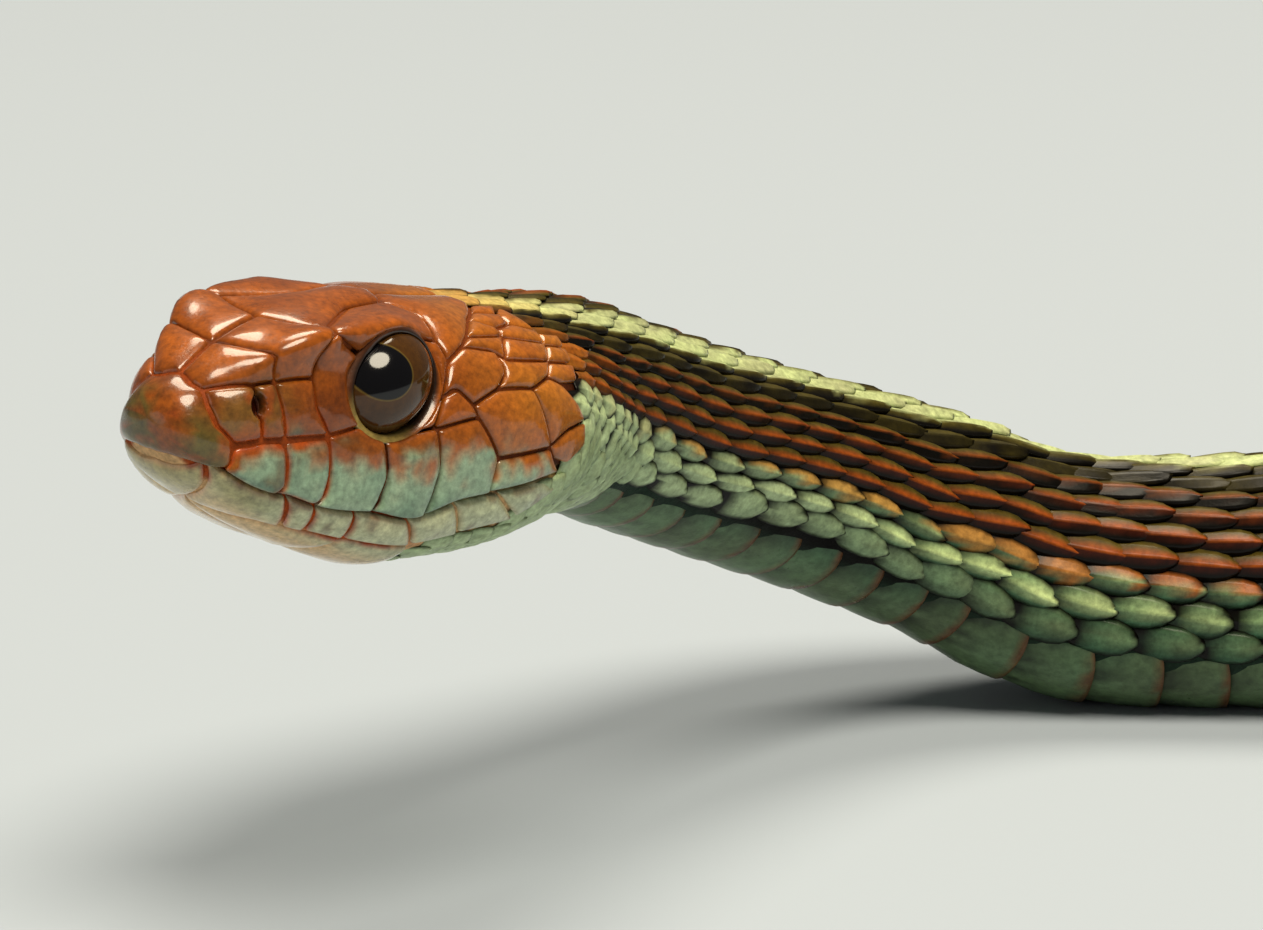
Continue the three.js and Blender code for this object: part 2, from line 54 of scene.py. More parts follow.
PHOTO_SIZE = (1263, 930)
Array = np.ndarray
Pair = tuple[float, float]
Triple = tuple[float, float, float]


def srgb(code: str) -> Triple:
    """Turns an sRGB hex colour to linear.

    Args:
        code: Six hex digits.

    Returns:
        Linear red, green and blue.
    """
    parts = [int(code[i:i + 2], 16) / 255 for i in (0, 2, 4)]
    return tuple(p / 12.92 if p <= 0.04045 else ((p + 0.055) / 1.055) ** 2.4 for p in parts)


def ease(start: float, end: float, x: Array) -> Array:
    """Goes smoothly from 0 to 1 between two values of x."""
    t = np.clip((x - start) / (end - start), 0, 1)
    return t * t * (3 - 2 * t)


def bell(x: Array, width: float) -> Array:
    """A smooth hump round 0 that is 1 high."""
    return np.exp(-(x / width) ** 2)


def unit(vectors: Array) -> Array:
    """Vectors of the same directions that are 1 long."""
    length = np.linalg.norm(vectors, axis=-1, keepdims=True)
    return vectors / np.where(length > 0, length, 1)


def painted(base: Array | tuple, *layers: tuple) -> Array:
    """Lays colours over a base, one after the other.

    Args:
        base: The colour underneath.
        layers: Pairs of a colour and its share at each point.

    Returns:
        A colour for each point.
    """
    for colour, share in layers:
        share = np.clip(share, 0, 1)[..., None]
        base = np.asarray(base) * (1 - share) + np.asarray(colour) * share
    return base


def noise(points: Array, size: float, seed: int = 0) -> Array:
    """Smooth noise from -1 to 1.

    Args:
        points: Rows of coordinates in millimetres.
        size: The distance between the noise's lattice points.
        seed: Which noise.

    Returns:
        One value for each row.
    """
    spot = points / size
    cell = np.floor(spot).astype(np.int64)
    part = spot - cell
    part = part * part * (3 - 2 * part)
    total = np.zeros(len(points))
    for corner in range(8):
        step = np.array([corner & 1, corner >> 1 & 1, corner >> 2 & 1])
        place = cell + step
        mixed = (place[:, 0] * 73856093 ^ place[:, 1] * 19349663 ^ place[:, 2] * 83492791
                 ^ seed * 2654435761)
        mixed = (mixed ^ mixed >> 13) * 1274126177 & 0xFFFFFFFF
        value = (mixed ^ mixed >> 16) % 65536 / 32767.5 - 1
        total += value * np.prod(np.where(step, part, 1 - part), axis=1)
    return total


class Curve:
    """A smooth curve through (place, value) stations that never overshoots them."""

    def __init__(self, *stations: Pair) -> None:
        """Works out the tangents at the stations.

        Args:
            stations: A place and a value for each station.
        """
        self.x, self.y = np.array(stations, float).T
        slope = np.diff(self.y) / np.diff(self.x)
        self.tangent = np.concatenate([slope[:1], slope[1:], slope[-1:]])
        product = slope[:-1] * slope[1:]
        total = slope[:-1] + slope[1:]
        self.tangent[1:-1] = np.where(product > 0, 2 * product / np.where(total == 0, 1, total), 0)

    def __call__(self, x: Array | float) -> Array:
        """The curve's values.

        Args:
            x: Places along it.

        Returns:
            A value for each place.
        """
        x = np.clip(x, self.x[0], self.x[-1])
        i = np.clip(np.searchsorted(self.x, x, side="right") - 1, 0, len(self.x) - 2)
        span = self.x[i + 1] - self.x[i]
        t = (x - self.x[i]) / span
        rest = 1 - t
        return ((1 + 2 * t) * rest * rest * self.y[i] + t * rest * rest * span * self.tangent[i]
                + t * t * (3 - 2 * t) * self.y[i + 1] - t * t * rest * span * self.tangent[i + 1])


@dataclass
class HeadForm:
    """The head's section along its length, in its own frame: x back, y right, z up."""

    end: float = 22
    axis_level: float = 1.2
    half_width: Curve = Curve(
        (0, 0), (0.35, 1.35), (0.9, 1.9), (1.8, 2.6), (3, 3.2), (4.5, 3.7), (6.5, 4.35), (9, 5.1),
        (11.5, 5.65), (14, 6.1), (16.5, 6.5), (19, 6.35), (22, 5.5))
    top: Curve = Curve(
        (0, 1.2), (0.35, 2.1), (0.9, 2.65), (1.8, 3.4), (3, 4.2), (4.5, 4.8), (6.5, 5.3), (9, 5.7),
        (11.5, 5.9), (14, 5.8), (22, 5.55))
    bottom: Curve = Curve(
        (0, 1.2), (0.35, -0.1), (0.9, -0.75), (1.8, -1.35), (3, -2.05), (4.5, -2.7), (6.5, -3.35),
        (9, -4.05), (11.5, -4.45), (16.5, -4.15), (22, -3.35))
    widest: Curve = Curve((0, 1.2), (0.9, 0.5), (3, -0.3), (6.5, -1), (9, -1), (14, 0.1), (19, 1), (22, 1.2))
    upper_square: Curve = Curve((0, 2), (0.9, 2.3), (3, 2.8), (9, 2.15), (14, 2.5), (22, 2.05))
    lower_square: Curve = Curve((0, 2), (0.9, 2.1), (3, 1.95), (9, 2.4), (14, 2.45), (22, 2.05))
    lips: Curve = Curve(
        (0, 0.1), (0.6, 0.3), (1, 0.15), (1.7, -0.3), (2.9, -0.8), (4.5, -1.15), (6.5, -1.5), (9, -1.68),
        (10.4, -1.7), (12.3, -1.1), (14.5, -0.45), (16.8, 0.75), (19.3, 2), (22, 1))
    brow_height: float = 1.18
    brow_angle: float = 33
    brow_slope: float = 12
    brow_width: float = 8
    brow_start: Pair = (1.6, 5.6)
    brow_end: Pair = (9.2, 12.1)
    brow_aside: float = 0.75
    brow_up: float = 0.65

    def section(self, x: Array, angle: Array) -> tuple[Array, Array]:
        """The head's outline across.

        Args:
            x: Distances back from the snout.
            angle: Angles round from the crown.

        Returns:
            The distance to the right and the level of each point.
        """
        x = np.minimum(x, self.end)
        sine, cosine = np.sin(np.radians(angle)), np.cos(np.radians(angle))
        level = self.widest(x)
        upper = cosine > 0
        height = np.where(upper, self.top(x) - level, level - self.bottom(x))
        power = 2 / np.where(upper, self.upper_square(x), self.lower_square(x))
        y = self.half_width(x) * np.sign(sine) * np.abs(sine) ** power
        z = level + height * np.sign(cosine) * np.abs(cosine) ** power
        aside = np.abs(angle) - self.brow_angle
        brow = (self.brow_height * bell(aside, np.where(aside < 0, self.brow_slope, self.brow_width))
                * ease(*self.brow_start, x) * (1 - ease(*self.brow_end, x)))
        return y + np.sign(sine) * brow * self.brow_aside, z + brow * self.brow_up


@dataclass
class BodyForm:
    """The body's section along its length, and how its line lies on the floor."""

    total: float = 725
    vent: float = 550
    rest_place: float = 70
    half_width: Curve = Curve(
        (22, 5.5), (26, 4.6), (32, 4.4), (42, 4.6), (52, 5.05), (62, 5.75), (90, 6.6), (150, 7.6),
        (220, 8.3), (300, 8.6), (380, 8.3), (460, 7.2), (530, 5.9), (555, 5), (580, 4.4), (640, 2.9),
        (690, 1.65), (718, 0.85), (725, 0.45))
    half_height: Curve = Curve(
        (22, 4.45), (26, 4.35), (32, 4.38), (42, 4.5), (52, 4.87), (62, 5.5), (90, 6.1), (150, 6.9),
        (220, 7.5), (300, 7.7), (380, 7.4), (460, 6.5), (530, 5.4), (555, 4.6), (580, 4.1), (640, 2.8),
        (690, 1.6), (718, 0.85), (725, 0.45))
    square: float = 2.15
    belly_flat: float = 0.93
    neck_landing: float = 65
    neck_lift: float = 13.25
    neck_rise: Curve = Curve(
        (22, 1), (26, 0.952), (31, 0.822), (39, 0.607), (47, 0.392), (53, 0.222), (57, 0.088), (61, 0.012),
        (65, 0))
    heading: Curve = Curve(
        (22, 55.5), (34, 55), (40, 48.5), (48, 32), (56, 11), (62, 2), (70, 0), (84, 3), (150, 88), (210, 0),
        (265, -92), (325, 0), (380, 88), (435, 0), (485, -80), (530, 0), (575, 62), (620, 0), (655, -38),
        (725, 5))
    roll: Curve = Curve(
        (22, 7.3), (27, 18), (35, 29), (48, 29), (51, 23), (54, 15), (62, 3), (68, 0), (725, 0))
    path_step: float = 0.5

    def level(self, place: Array) -> Array:
        """The height of the body's line over the floor."""
        resting = self.belly_flat * self.half_height(np.maximum(place, self.neck_landing))
        return resting + self.neck_lift * self.neck_rise(place)

    def section(self, place: Array, angle: Array) -> tuple[Array, Array]:
        """The body's outline across.

        Args:
            place: Distances from the snout.
            angle: Angles round from the back.

        Returns:
            The distance to the right of the body's line and over it for each point.
        """
        sine, cosine = np.sin(np.radians(angle)), np.cos(np.radians(angle))
        power = 2 / self.square
        return (self.half_width(place) * np.sign(sine) * np.abs(sine) ** power,
                self.half_height(place) * np.sign(cosine) * np.abs(cosine) ** power)


class SnakeForm:
    """The whole animal's surface, from the snout to the tip of the tail."""

    floor_gap: float = 0.02
    blend: Pair = (20, 27)
    small: Pair = (0.02, 0.8)

    def __init__(self) -> None:
        """Lays the animal's line out from its heading."""
        self.head = HeadForm()
        self.body = BodyForm()
        body = self.body
        start = self.head.end
        self.places = np.arange(start, body.total + 2 * body.path_step, body.path_step)
        rise = np.diff(body.level(self.places))
        run = np.sqrt(body.path_step ** 2 - rise ** 2)
        heading = np.radians(body.heading(self.places[:-1] + body.path_step / 2))
        steps = np.stack([run * np.cos(heading), run * np.sin(heading)], 1)
        points = np.concatenate([np.zeros((1, 2)), np.cumsum(steps, 0)])
        self.points = points - points[round((body.rest_place - start) / body.path_step)]

    def frames(self, place: Array) -> tuple[Array, Array, Array, Array]:
        """The animal's line.

        Args:
            place: Distances from the snout.

        Returns:
            The centre, and the directions back, right and up.
        """
        body, start = self.body, self.head.end
        on_line = np.clip(place, start, body.total)
        x, y = (np.interp(on_line, self.places, self.points[:, k]) for k in (0, 1))
        centre = np.stack([x, y, body.level(on_line)], -1)
        slope = np.arcsin((body.level(on_line + body.path_step) - body.level(on_line)) / body.path_step)
        heading, roll = np.radians(body.heading(on_line)), np.radians(body.roll(on_line))[..., None]
        sine, cosine = np.sin(heading), np.cos(heading)
        back = np.stack([cosine * np.cos(slope), sine * np.cos(slope), np.sin(slope)], -1)
        flat = np.stack([-sine, cosine, np.zeros_like(heading)], -1)
        right = flat * np.cos(roll) + np.cross(back, flat) * np.sin(roll)
        centre = centre + back * np.minimum(place - start, 0)[..., None]
        return centre, back, right, np.cross(back, right)

    def at(self, place: Array, angle: Array, height: Array | float = 0) -> Array:
        """Points over the animal's surface.

        Args:
            place: Distances from the snout.
            angle: Angles round from the back.
            height: How far over the surface, or under it where it is negative.

        Returns:
            Rows of coordinates in millimetres.
        """
        place, angle = np.broadcast_arrays(np.asarray(place, float), np.asarray(angle, float))
        share = ease(*self.blend, place)
        head_y, head_z = self.head.section(place, angle)
        body_y, body_z = self.body.section(place, angle)
        y = head_y * (1 - share) + body_y * share
        z = (head_z - self.head.axis_level) * (1 - share) + body_z * share
        centre, _, right, up = self.frames(place)
        point = centre + right * y[..., None] + up * z[..., None]
        if np.any(height):
            point = point + self.normal(place, angle) * np.broadcast_to(height, place.shape)[..., None]
        lowest = self.floor_gap + np.maximum(-np.asarray(height, float), 0)
        point[..., 2] = np.maximum(point[..., 2], lowest)
        return point

    def normal(self, place: Array, angle: Array) -> Array:
        """The outward direction of the surface.

        Args:
            place: Distances from the snout.
            angle: Angles round from the back.

        Returns:
            A direction for each spot.
        """
        length, turn = self.small
        along = self.at(place + length, angle) - self.at(np.maximum(place - length, 0), angle)
        return unit(np.cross(along, self.at(place, angle + turn) - self.at(place, angle - turn)))

    def stretch(self, place: float, angle: float) -> Array:
        """How much of the surface a step of place and a step of angle cover.

        Args:
            place: Distances from the snout.
            angle: Angles round from the back.

        Returns:
            Millimetres for a millimetre of place and for a degree.
        """
        length, turn = self.small
        along = self.at(place + length, angle) - self.at(place - length, angle)
        across = self.at(place, angle + turn) - self.at(place, angle - turn)
        return np.stack([np.linalg.norm(along, axis=-1) / (2 * length),
                         np.linalg.norm(across, axis=-1) / (2 * turn)], -1)

    def head_point(self, x: float, y: float, z: float) -> Array:
        """A point of the head's own frame."""
        centre, back, right, up = self.frames(np.array([0.0]))
        return (centre + back * x + right * y + up * (z - self.head.axis_level))[0]


def add_node(tree: NodeTree, kind: str, inputs: dict | None = None,
             **settings: object) -> Node:
    """Adds a node with its settings and links.

    Args:
        tree: The tree that it joins.
        kind: The node's type.
        inputs: A value, or another node's output, for each input by its name or number.
        settings: The node's own settings.

    Returns:
        The node.
    """
    made = tree.nodes.new(kind)
    for name, value in settings.items():
        setattr(made, name, value)
    for name, value in (inputs or {}).items():
        if isinstance(value, NodeSocket):
            tree.links.new(value, made.inputs[name])
        else:
            made.inputs[name].default_value = value
    return made


def write_values(mesh: Mesh, name: str, rows: Array) -> None:
    """Keeps a value for each point of a mesh: one number, a vector, a turn or a colour.

    Args:
        mesh: The mesh.
        name: What the value is called, where turn and skin_color are a turn and a colour.
        rows: One row for each point.
    """
    if name == "skin_color":
        rows = np.column_stack([rows, np.ones(len(rows))])
    plain = ("FLOAT", "value") if rows.ndim == 1 else ("FLOAT_VECTOR", "vector")
    kinds = {"turn": ("QUATERNION", "value"), "skin_color": ("FLOAT_COLOR", "color")}
    kind, field_name = kinds.get(name, plain)
    values = mesh.attributes.new(name, kind, "POINT")
    values.data.foreach_set(field_name, rows.astype(np.float32).ravel())


def read_values(mesh: Mesh, name: str) -> Array:
    """The numbers that a mesh keeps for its points.

    Args:
        mesh: The mesh.
        name: What the value is called.

    Returns:
        A number or a vector for each point.
    """
    values = mesh.attributes[name]
    wide = values.data_type == "FLOAT_VECTOR"
    rows = np.empty(len(values.data) * (3 if wide else 1), np.float32)
    values.data.foreach_get("vector" if wide else "value", rows)
    return rows.reshape(-1, 3) if wide else rows


@dataclass
class MeshParts:
    """The points, faces and values of one piece, gathered part by part."""

    points: list[Array] = field(default_factory=list)
    faces: list[tuple[int, ...]] = field(default_factory=list)
    patches: list[Array] = field(default_factory=list)
    values: dict[str, list[Array]] = field(default_factory=dict)
    count: int = 0

    def add(self, points: Array, faces: list[tuple[int, ...]], patch: Array,
            **values: Array) -> None:
        """Adds a closed part.

        Args:
            points: Rows of coordinates in millimetres.
            faces: The numbers of each face's points.
            patch: The place on the piece's map of each point, or of each corner of the faces.
            values: Rows of values for the points, by name.
        """
        if len(patch) == len(points):
            patch = patch[[int(i) for face in faces for i in face]]
        self.points.append(points)
        self.faces.extend(tuple(int(i) + self.count for i in face) for face in faces)
        self.patches.append(patch)
        for name, rows in values.items():
            self.values.setdefault(name, []).append(rows)
        self.count += len(points)

    def build(self, name: str, material: Material) -> Object:
        """Makes the piece.

        Args:
            name: The piece's name.
            material: Its material.

        Returns:
            The piece's object.
        """
        mesh = bpy.data.meshes.new(name)
        mesh.from_pydata(np.concatenate(self.points) * MM, [], self.faces)
        for key, rows in self.values.items():
            write_values(mesh, key, np.concatenate(rows))
        write_map(mesh, np.concatenate(self.patches))
        mesh.materials.append(material)
        return show(name, mesh)


def write_map(mesh: Mesh, corners: Array) -> None:
    """Gives a mesh its map, with a row for each corner of its faces."""
    layer = mesh.uv_layers.new(name="OFBake")
    layer.uv.foreach_set("vector", corners.astype(np.float32).ravel())


def stand(name: str, data: ID) -> Object:
    """Puts an object in the scene.

    Args:
        name: The object's name.
        data: Its mesh, lamp or camera.

    Returns:
        The object.
    """
    made = bpy.data.objects.new(name, data)
    bpy.context.scene.collection.objects.link(made)
    return made


def show(name: str, mesh: Mesh) -> Object:
    """Puts a mesh in the scene, smooth.

    Args:
        name: The object's name.
        mesh: The mesh.

    Returns:
        The object.
    """
    mesh.polygons.foreach_set("use_smooth", np.ones(len(mesh.polygons), bool))
    mesh.update()
    return stand(name, mesh)


def dress(piece: Object, slot: str, *nodes: str) -> None:
    """Sets a piece on the animal and reports it.

    Args:
        piece: The piece.
        slot: Not used.
        nodes: The solids that it stands for.
    """
    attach(piece, "root")
    if nodes:
        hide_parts(*nodes)
    log.info("%s: %d faces", piece.name, len(piece.data.polygons))


@dataclass(frozen=True)
class Palette:
    """The colours of the skin, in linear light; a few also serve as painted light and shade."""

    crown: tuple = srgb("984E12")
    crown_dark: tuple = srgb("642C08")
    crown_light: tuple = srgb("C47C26")
    snout_olive: tuple = srgb("56602F")
    snout_brown: tuple = srgb("4E2208")
    suture_red: tuple = srgb("A04416")
    suture_brown: tuple = srgb("381808")
    lip: tuple = srgb("8DA488")
    lip_green: tuple = srgb("5F7F68")
    lip_brown: tuple = srgb("5A3A12")
    chin: tuple = srgb("CCAC7C")
    jaw: tuple = srgb("BCBC94")
    # The jaw's front: partly its own colour and partly painted shade.
    jaw_front: tuple = srgb("928048")
    # Near black inside the nostril: painted shade in its hollow.
    nostril: tuple = srgb("240502")
    rim: tuple = srgb("86733C")
    rim_dark: tuple = srgb("24140A")
    stripe: tuple = srgb("A2A67C")
    stripe_nape: tuple = srgb("BE9F50")
    # Also laid as a painted sheen over the upper side of the black rows.
    olive: tuple = srgb("463E16")
    black: tuple = srgb("080603")
    red: tuple = srgb("78300E")
    # Also laid as a painted highlight along the keels of the red rows.
    red_light: tuple = srgb("9C4E16")
    # The lower halves of the red scales: partly their own colour and partly painted shade.
    red_dark: tuple = srgb("3A0F03")
    teal: tuple = srgb("4A7654")
    # Also laid as a painted highlight along the upper middle of the blue-green scales.
    teal_pale: tuple = srgb("BED090")
    teal_dull: tuple = srgb("22382A")
    fold: tuple = srgb("B0C294")
    # Darker than the living belly: painted shade.
    belly: tuple = srgb("131F16")
    belly_edge: tuple = srgb("5E2E0E")
    inner: tuple = srgb("060503")


COLOURS = Palette()


@dataclass
class HeadColours:
    """The colours of the head, by the place and the angle."""

    form: SnakeForm
    lip_start: Curve = Curve(
        (0, 190), (1.3, 180), (1.9, 112), (2.3, 88), (4, 79), (6, 79), (9, 80), (11, 80), (12.5, 80),
        (14, 85), (16, 89), (17.2, 91), (17.9, 101), (19, 106))
    mouth: Curve = Curve(
        (0, 112), (0.5, 109), (0.93, 103), (1.7, 106), (2.9, 109), (3.7, 107), (4.55, 101), (5.95, 101),
        (7.1, 100), (8.2, 98), (10.25, 101.5), (11.4, 99), (12.35, 97), (13.65, 97.5), (15, 97.5), (17, 97),
        (19.6, 97))
    nostril: Pair = (2.72, 61)

    def from_nostril(self, place: Array, angle: Array) -> tuple[Array, Array]:
        """Distances back and down from the nearer nostril."""
        width = self.form.stretch(*self.nostril)[1]
        return place - self.nostril[0], (np.abs(angle) - self.nostril[1]) * width

    def upper(self, place: Array, angle: Array, points: Array) -> Array:
        """The upper head's colours, without its sutures.

        Args:
            place: Distances from the snout.
            angle: Angles round from the back.
            points: The points, in millimetres.

        Returns:
            A colour for each point.
        """
        turn = np.abs(angle)
        broad, fine = noise(points, 1.7, 3), noise(points, 0.55, 4)
        tip, snout = 1 - ease(1.1, 2.0, place), 1 - ease(2.6, 5.2, place)
        low = ease(30, 62, turn) * (1 - tip) + ease(-0.9, 0.0, -place * np.cos(np.radians(turn))) * tip
        patches = ease(-0.45, 0.2, broad + 0.5 * fine)
        brown = bell(turn - 62, 12) * (1 - ease(5, 8.5, place)) * (1 - tip)
        # Painted shade: a darker brown over the snout's tip and over the side before the eye.
        painted_shade = ease(35, 50, turn) * bell(place - 6.2, 1.0) + 0.8 * tip
        flecks = ease(0.1, 0.45, fine - 0.3 * broad)
        over_lip = turn - self.lip_start(place)
        brown_edge = bell(over_lip + 3, 5) * (1 - ease(12, 15, place))
        lip = painted(
            COLOURS.lip,
            (COLOURS.lip_green, 0.5 + 0.6 * broad + 0.3 * fine),
            (COLOURS.lip_brown, 0.6 * ease(0.05, 0.5, fine + 0.4 * broad) * (1 - ease(3.5, 7, place))))
        return painted(
            COLOURS.crown,
            (COLOURS.crown_dark, 0.3 + 0.4 * broad + 0.2 * fine),
            (COLOURS.crown_light, 0.5 * ease(11, 16, place) * (0.6 + 0.5 * broad)),
            (COLOURS.snout_olive, snout * low * patches * (0.45 + 0.45 * tip)),
            (COLOURS.snout_brown, brown * (0.2 + 0.4 * fine)),
            # The snout's brown laid again as painted shade.
            (COLOURS.snout_brown, 0.6 * painted_shade * (0.8 + 0.4 * fine)),
            (COLOURS.suture_red, 0.5 * flecks * low * snout),
            (COLOURS.lip_brown, 0.6 * brown_edge * (0.6 + 0.5 * fine)),
            (lip, ease(-5, 5, over_lip + 8 * fine + 3 * broad)))

    def lower(self, place: Array, angle: Array, points: Array) -> Array:
        """The lower jaw's colours, without its sutures.

        Args:
            place: Distances from the snout.
            angle: Angles round from the back.
            points: The points, in millimetres.

        Returns:
            A colour for each point.
        """
        turn = np.abs(angle)
        broad, fine = noise(points, 2.1, 5), noise(points, 0.6, 6)
        blotch = ease(0.3, 0.6, fine) * (1 - ease(118, 135, turn))
        return painted(
            COLOURS.jaw,
            (COLOURS.lip, 0.3 + 0.3 * broad),
            # Darker and browner towards the jaw's front: partly its own colour and partly painted shade.
            (COLOURS.jaw_front, (1 - ease(1.5, 6, place)) * (0.75 + 0.3 * broad)),
            (COLOURS.chin, ease(125, 150, turn) * ease(1, 4, place)),
            (COLOURS.belly_edge, 0.5 * blotch))

    def suture(self, place: Array, angle: Array, is_jaw: bool) -> Array:
        """The colours of the seams between the shields.

        Args:
            place: Distances from the snout.
            angle: Angles round from the back.
            is_jaw: Whether the seams are the lower jaw's.

        Returns:
            A colour for each spot.
        """
        turn = np.abs(angle)
        if is_jaw:
            return painted(COLOURS.suture_red,
                           (COLOURS.chin, ease(9, 13, place) * 0.8 + ease(128, 140, turn) * 0.8))
        return painted(COLOURS.suture_red, (COLOURS.suture_brown, ease(5.5, 9, place)),
                       (COLOURS.crown_dark, (1 - ease(50, 64, turn)) * ease(1.3, 3, place)))


@dataclass
class ScaleSpots:
    """Points on scales, each with its scale's row, place and chance number.

    A row's number goes from 0 on the back to 9 beside the belly. A point lies u back over its scale,
    from 0 to 1, and v towards the belly, from -1 to 1.
    """

    row: Array
    place: Array
    u: Array
    v: Array
    chance: Array
    points: Array

    def __post_init__(self) -> None:
        """Works out the noise at the points."""
        self.fine, self.broad = noise(self.points, 0.3, 7), noise(self.points, 1.1, 8)


@dataclass
class StripePattern:
    """The long stripes of the body, by the row and the place."""

    red_start: Pair = (19, 23)
    nape: Pair = (17.5, 25)
    red_shares: tuple[float, ...] = (0.2, 0.6, 0.9, 1.0)

    def colours(self, spots: ScaleSpots) -> Array:
        """The colours over the scales.

        Args:
            spots: The points on them.

        Returns:
            A colour for each point.
        """
        place, fine, broad, chance = spots.place, spots.fine, spots.broad, spots.chance
        ragged = spots.v + 0.25 * fine
        black = COLOURS.black
        inside = self.oval(spots)
        stripe = painted(COLOURS.stripe, (COLOURS.teal_pale, 0.3 + 0.4 * broad),
                         (COLOURS.stripe_nape, 0.8 * (1 - ease(*self.nape, place))))
        lowest = ease(-0.2, 0.25, spots.u - 0.35 - 0.3 * spots.v + 0.3 * fine + 0.5 * chance)
        rows = [
            stripe,
            painted(stripe, (COLOURS.olive, ease(-0.3, 0.1, ragged)), (black, ease(0.0, 0.5, ragged))),
            # Row 2 is black with olive over its upper side: partly its own colour and partly a painted sheen.
            painted(black, (COLOURS.olive, 0.2 + 0.8 * (1 - ease(-0.7, 0.2, ragged)) + 0.3 * broad)),
            *[self.red_scale(spots, share) for share in self.red_shares],
            painted(black, (self.side_scale(spots), inside)),
            # Row 8 is pale near the head and darker further back: partly its own colour and partly painted
            # light and shade.
            painted(black, (self.teal_scale(spots, 0.45 + 0.75 * (1 - ease(50, 66, place))), inside)),
            # Row 9 is darker than the living animal's: partly its own colour and partly painted shade.
            painted(black, (self.teal_scale(spots, 0.15), inside * lowest)),
            self.teal_scale(spots, 0.5),
        ]
        number = np.clip(np.round(spots.row), 0, len(rows) - 1).astype(int)
        colour = np.zeros((len(number), 3))
        for i, each in enumerate(rows):
            colour[number == i] = each[number == i]
        tail = ease(520, 600, place)
        red_rows = (number >= 3) & (number <= 6)
        sooner = np.clip(3.5 - 1.2 * np.maximum(number - 1, 0), 0, 3.5)
        start = 1 - ease(*self.red_start, place + sooner + 1.5 * (chance - 0.5))
        nape_rows = np.clip(1 - np.abs(number - 1.5) / 2, 0, 1)
        folds = ((number == 8) * (1 - ease(38, 50, place)) + (number == 9) * (1 - ease(27, 62, place))
                 + (number == 10))
        head = painted(COLOURS.crown, (COLOURS.crown_light, 0.3 + 0.4 * broad),
                       (COLOURS.olive, nape_rows * (0.4 + 0.8 * fine)))
        return painted(
            colour,
            (painted(black, (COLOURS.olive, 0.5 + 0.3 * broad)), 0.75 * tail * red_rows),
            (COLOURS.fold, folds * (0.75 + 0.3 * fine) * ease(0.1, 0.3, inside + (number == 10))),
            (head, start * (number <= 6)))

    def oval(self, spots: ScaleSpots) -> Array:
        """From 1 on the open part of a scale to 0 round its dark edge."""
        away = (np.abs(spots.v) / 0.86) ** 2.6 + (np.abs(spots.u - 0.66) / 0.335) ** 2.6
        return 1 - ease(0.7, 1.0, away + 0.25 * spots.fine)

    def red_scale(self, spots: ScaleSpots, red: float) -> Array:
        """A scale with an olive top, a red keel and a black lower half, with painted light and shade.

        Args:
            spots: The points on it.
            red: How red the row is, from 0 to 1.

        Returns:
            A colour for each point.
        """
        u, v, fine = spots.u, spots.v, spots.fine
        # A lighter red line along the keel is a painted highlight.
        keel = painted(COLOURS.red, (COLOURS.red_light, 0.7 * bell(v + 0.05, 0.16) * red))
        return painted(
            COLOURS.olive,
            (COLOURS.red, red * ease(0.5, 1.1, u + 0.9 * v + 0.25 * fine + 0.2 * spots.chance)),
            (keel, (0.55 + 0.45 * red) * bell(v + 0.02, 0.3 + 0.15 * red) * ease(0.1, 0.4, u)),
            # The dark red and black of the lower half are partly its own colour and partly painted shade.
            (COLOURS.red_dark, (0.4 + 0.6 * red) * ease(0.02, 0.2, v)),
            (COLOURS.black, ease(0.04, 0.12 + 0.3 * red, v + 0.15 * fine)),
            (COLOURS.olive, 0.6 * (1 - ease(-0.75, -0.35, v + 0.2 * fine))),
            (COLOURS.black, (1 - ease(0.26, 0.5, u - 0.12 * v)) * 0.85))

    def side_scale(self, spots: ScaleSpots) -> Array:
        """A blue-green scale with orange-red patches over its upper side.

        Args:
            spots: The points on it.

        Returns:
            A colour for each point.
        """
        place = spots.place
        near_head = 1 - ease(25, 31, place)
        patch = ease(0.0, 0.25, 0.5 * (spots.u - 0.75) - 0.6 * spots.v + 0.5 * spots.fine
                     + 0.6 * (spots.chance - 0.25))
        warm = painted(COLOURS.red_light, (COLOURS.stripe_nape, 0.55 * (1 - ease(42, 66, place))))
        return painted(self.teal_scale(spots, 0.35),
                       (COLOURS.fold, 0.5 * (1 - ease(30, 50, place)) + 0.3 * near_head),
                       (warm, patch * (0.9 - 0.7 * near_head)))

    def teal_scale(self, spots: ScaleSpots, pale: Array | float) -> Array:
        """A blue-green scale, palest along its upper middle by a share, partly as a painted highlight."""
        # The pale upper middle is partly the scale's own colour and partly a painted highlight.
        middle = (1 - ease(0.1, 0.9, np.abs(spots.v + 0.15))) * ease(0.25, 0.8, spots.u)
        return painted(COLOURS.teal_dull,
                       (COLOURS.teal, 0.4 + 0.5 * spots.fine + 0.5 * (spots.chance - 0.5)),
                       (COLOURS.teal_pale, pale * middle))


def empty_material(name: str) -> tuple[Material, NodeTree]:
    """Makes a material with an empty tree.

    Args:
        name: The material's name.

    Returns:
        The material and its tree.
    """
    made = bpy.data.materials.new(name)
    made.use_nodes = True
    made.node_tree.nodes.clear()
    return made, made.node_tree


